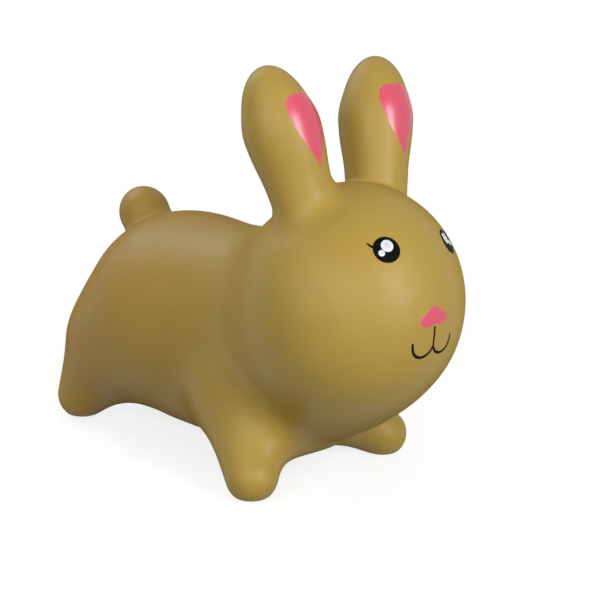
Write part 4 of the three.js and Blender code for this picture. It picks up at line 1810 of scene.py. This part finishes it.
@dataclass(frozen=True)
class MouldedPlastic(Finish):
    """Plain moulded plastic with a fine matt grain and slight clouds."""

    deep: Triple
    pale: Triple
    colour_span: Pair = (0.35, 0.65)
    gloss_low: float = 0.34
    gloss_spread: float = 0.14
    cloud_pitch: float = 0.004
    cloud_detail: float = 3.0
    grain_pitch: float = 0.0005
    grain_depth: float = 0.00001
    grain_detail: float = 2.0

    def _sockets(self, sheet: Shading, place: Wire) -> dict[str, Operand]:
        """Builds what goes to the plastic's sockets.

        Args:
            sheet: The material's nodes.
            place: The place on the piece.

        Returns:
            The sockets by name.
        """
        clouds = sheet.noise(place, self.cloud_pitch, self.cloud_detail)
        grain = sheet.noise(place, self.grain_pitch, self.grain_detail)
        return {"Base Color": sheet.ramp(clouds, self.deep, self.pale, self.colour_span),
                "Roughness": clouds * self.gloss_spread + self.gloss_low,
                "Normal": sheet.bump(grain, self.grain_depth)}


# Studio


def aimed(way: Vector) -> Euler:
    """The turn that points a lamp or a camera along a way."""
    return way.to_track_quat("-Z", "Y").to_euler()


@dataclass(frozen=True)
class Softbox:
    """An upright area lamp that looks at the rabbit."""

    name: str
    place: Triple
    target: Triple
    width: float
    height: float
    power: float
    glares: bool = True

    def build(self) -> None:
        """Hangs the lamp."""
        light = bpy.data.lights.new(self.name, "AREA")
        light.shape = "RECTANGLE"
        light.size = self.width
        light.size_y = self.height
        light.energy = self.power
        lamp = placed(self.name, light)
        lamp.visible_glossy = self.glares
        lamp.location = self.place
        lamp.rotation_euler = aimed(Vector(self.target) - Vector(self.place))


@dataclass
class Studio:
    """A plain white studio: a floor that keeps the shadow, a white surround, soft lamps and the camera."""

    WHITE = (1.0, 1.0, 1.0, 1.0)

    lamps: tuple[Softbox, ...] = (
        Softbox("front_softbox", (0.08, -1.9, 0.82), (0.0, -0.15, 0.25), 0.6, 1.3, 25.0),
        Softbox("camera_softbox", (-1.3, -1.4, 0.9), (0.0, 0.0, 0.2), 1.0, 1.2, 12.5),
        Softbox("side_softbox", (-1.8, -0.4, 1.0), (0.0, 0.0, 0.2), 1.2, 1.2, 11.2),
        Softbox("back_softbox", (-0.3, 1.2, 1.6), (0.0, 0.1, 0.2), 1.2, 1.2, 11.5),
        Softbox("far_softbox", (1.6, 1.5, 0.20), (0.0, 0.0, 0.2), 1.2, 0.4, 36.0, False),
    )
    ambient: float = 0.10
    floor_radius: float = 5.0
    floor_segments: int = 96
    floor_drop: float = 0.2 * MM
    floor_albedo: float = 0.8
    floor_bounce: float = 0.08
    floor_lift: float = 0.6
    floor_white: float = 1.3
    fade: Pair = (0.42, 0.85)
    camera_place: Triple = (-0.931, -1.1153, 0.5823)
    camera_aim: Triple = (0.6395, 0.7203, -0.2689)
    camera_lens: float = 80.46
    camera_sensor: float = 36.0

    @staticmethod
    def _seen(sheet: Shading) -> Wire:
        """Builds a number that is one for rays that see a surface, and nought for rays that only light it.

        Args:
            sheet: The nodes to add to.

        Returns:
            The number.
        """
        path = sheet.node("ShaderNodeLightPath", {})
        camera, glossy, through = (Wire(sheet, path.outputs[name])
                                   for name in ("Is Camera Ray", "Is Glossy Ray", "Is Transmission Ray"))
        return camera.larger(glossy).larger(through)

    def _surround(self) -> None:
        """Makes a surround that looks white and lights gently."""
        world = bpy.data.worlds.new("studio_surround")
        sheet = Shading(world)
        dim, white = (sheet.out("ShaderNodeBackground", 0, {"Color": self.WHITE, "Strength": strength})
                      for strength in (self.ambient, 1.0))
        sheet.node("ShaderNodeOutputWorld", {"Surface": sheet.mix(self._seen(sheet), dim, white)})
        bpy.context.scene.world = world

    def _floor(self) -> None:
        """Lays a pale floor that keeps the rabbit's shadow and turns white further out."""
        work = bmesh.new()
        bmesh.ops.create_circle(work, cap_ends=True, segments=self.floor_segments, radius=self.floor_radius)
        mesh = drawn_mesh("studio_floor", work)
        mesh.transform(Matrix.Translation((0.0, 0.0, -self.floor_drop)))
        material = bpy.data.materials.new("studio_floor")
        sheet = Shading(material)
        seen = self._seen(sheet)
        tone = seen * (self.floor_albedo - self.floor_bounce) + self.floor_bounce
        pale = sheet.out("ShaderNodeBsdfDiffuse", 0, {"Color": tone})
        lift, white = (sheet.out("ShaderNodeEmission", 0, {"Strength": strength})
                       for strength in (self.floor_white, 1.0))
        near = sheet.mix(seen * self.floor_lift, pale, lift)
        away = sheet.rise(sheet.place().length(), self.fade)
        sheet.node("ShaderNodeOutputMaterial", {"Surface": sheet.mix(away * seen, near, white)})
        mesh.materials.append(material)
        placed("studio_floor", mesh)

    def _camera(self) -> None:
        """Sets the camera at the photograph's viewing angle."""
        data = bpy.data.cameras.new("photo_camera")
        data.lens = self.camera_lens
        data.sensor_width = self.camera_sensor
        camera = placed("photo_camera", data)
        camera.location = self.camera_place
        camera.rotation_euler = aimed(Vector(self.camera_aim))
        bpy.context.scene.camera = camera

    def build(self) -> None:
        """Sets up the whole studio."""
        bpy.context.scene.view_settings.view_transform = "Standard"
        self._surround()
        self._floor()
        for lamp in self.lamps:
            lamp.build()
        self._camera()


def main() -> None:
    """Builds the studio and the rabbit, and reports each piece."""
    logging.basicConfig(level=logging.INFO, format="%(message)s")
    Studio().build()
    shape = Shape()
    grommet = MouldedPlastic("valve_grommet_plastic", (0.28, 0.19, 0.050), (0.33, 0.23, 0.066))
    plug = MouldedPlastic("valve_plug_plastic", (0.70, 0.68, 0.60), (0.80, 0.78, 0.72))
    black = SprayedPaint("eye_black", (0.004, 0.0035, 0.003), (0.006, 0.005, 0.004), specular=0.03,
                         gloss_low=0.5)
    line = SprayedPaint("mouth_brown", (0.008, 0.005, 0.003), (0.014, 0.008, 0.004), specular=0.03,
                        gloss_low=0.5)
    white = SprayedPaint("glint_white", (0.60, 0.64, 0.69), (0.74, 0.77, 0.80))
    pink = SprayedPaint("heart_pink", (0.64, 0.054, 0.110), (0.58, 0.11, 0.09), rim_span=(0.88, 1.0),
                        specular=0.8, gloss_low=0.26)
    valve = AirValve(shape.rump.centre, grommet.material(), plug.material())
    skin = Skin(shape, SoftVinyl().material())
    skins = skin.build(valve)
    marks = PaintedMarks(skin, skins, black=black.material(), line=line.material(), white=white.material(),
                         pink=pink.material())
    for piece in (*skins.values(), *valve.build(), *marks.build()):
        LOG.info("%s: %d faces", piece.name, len(piece.data.polygons))


if __name__ == "__main__":
    main()
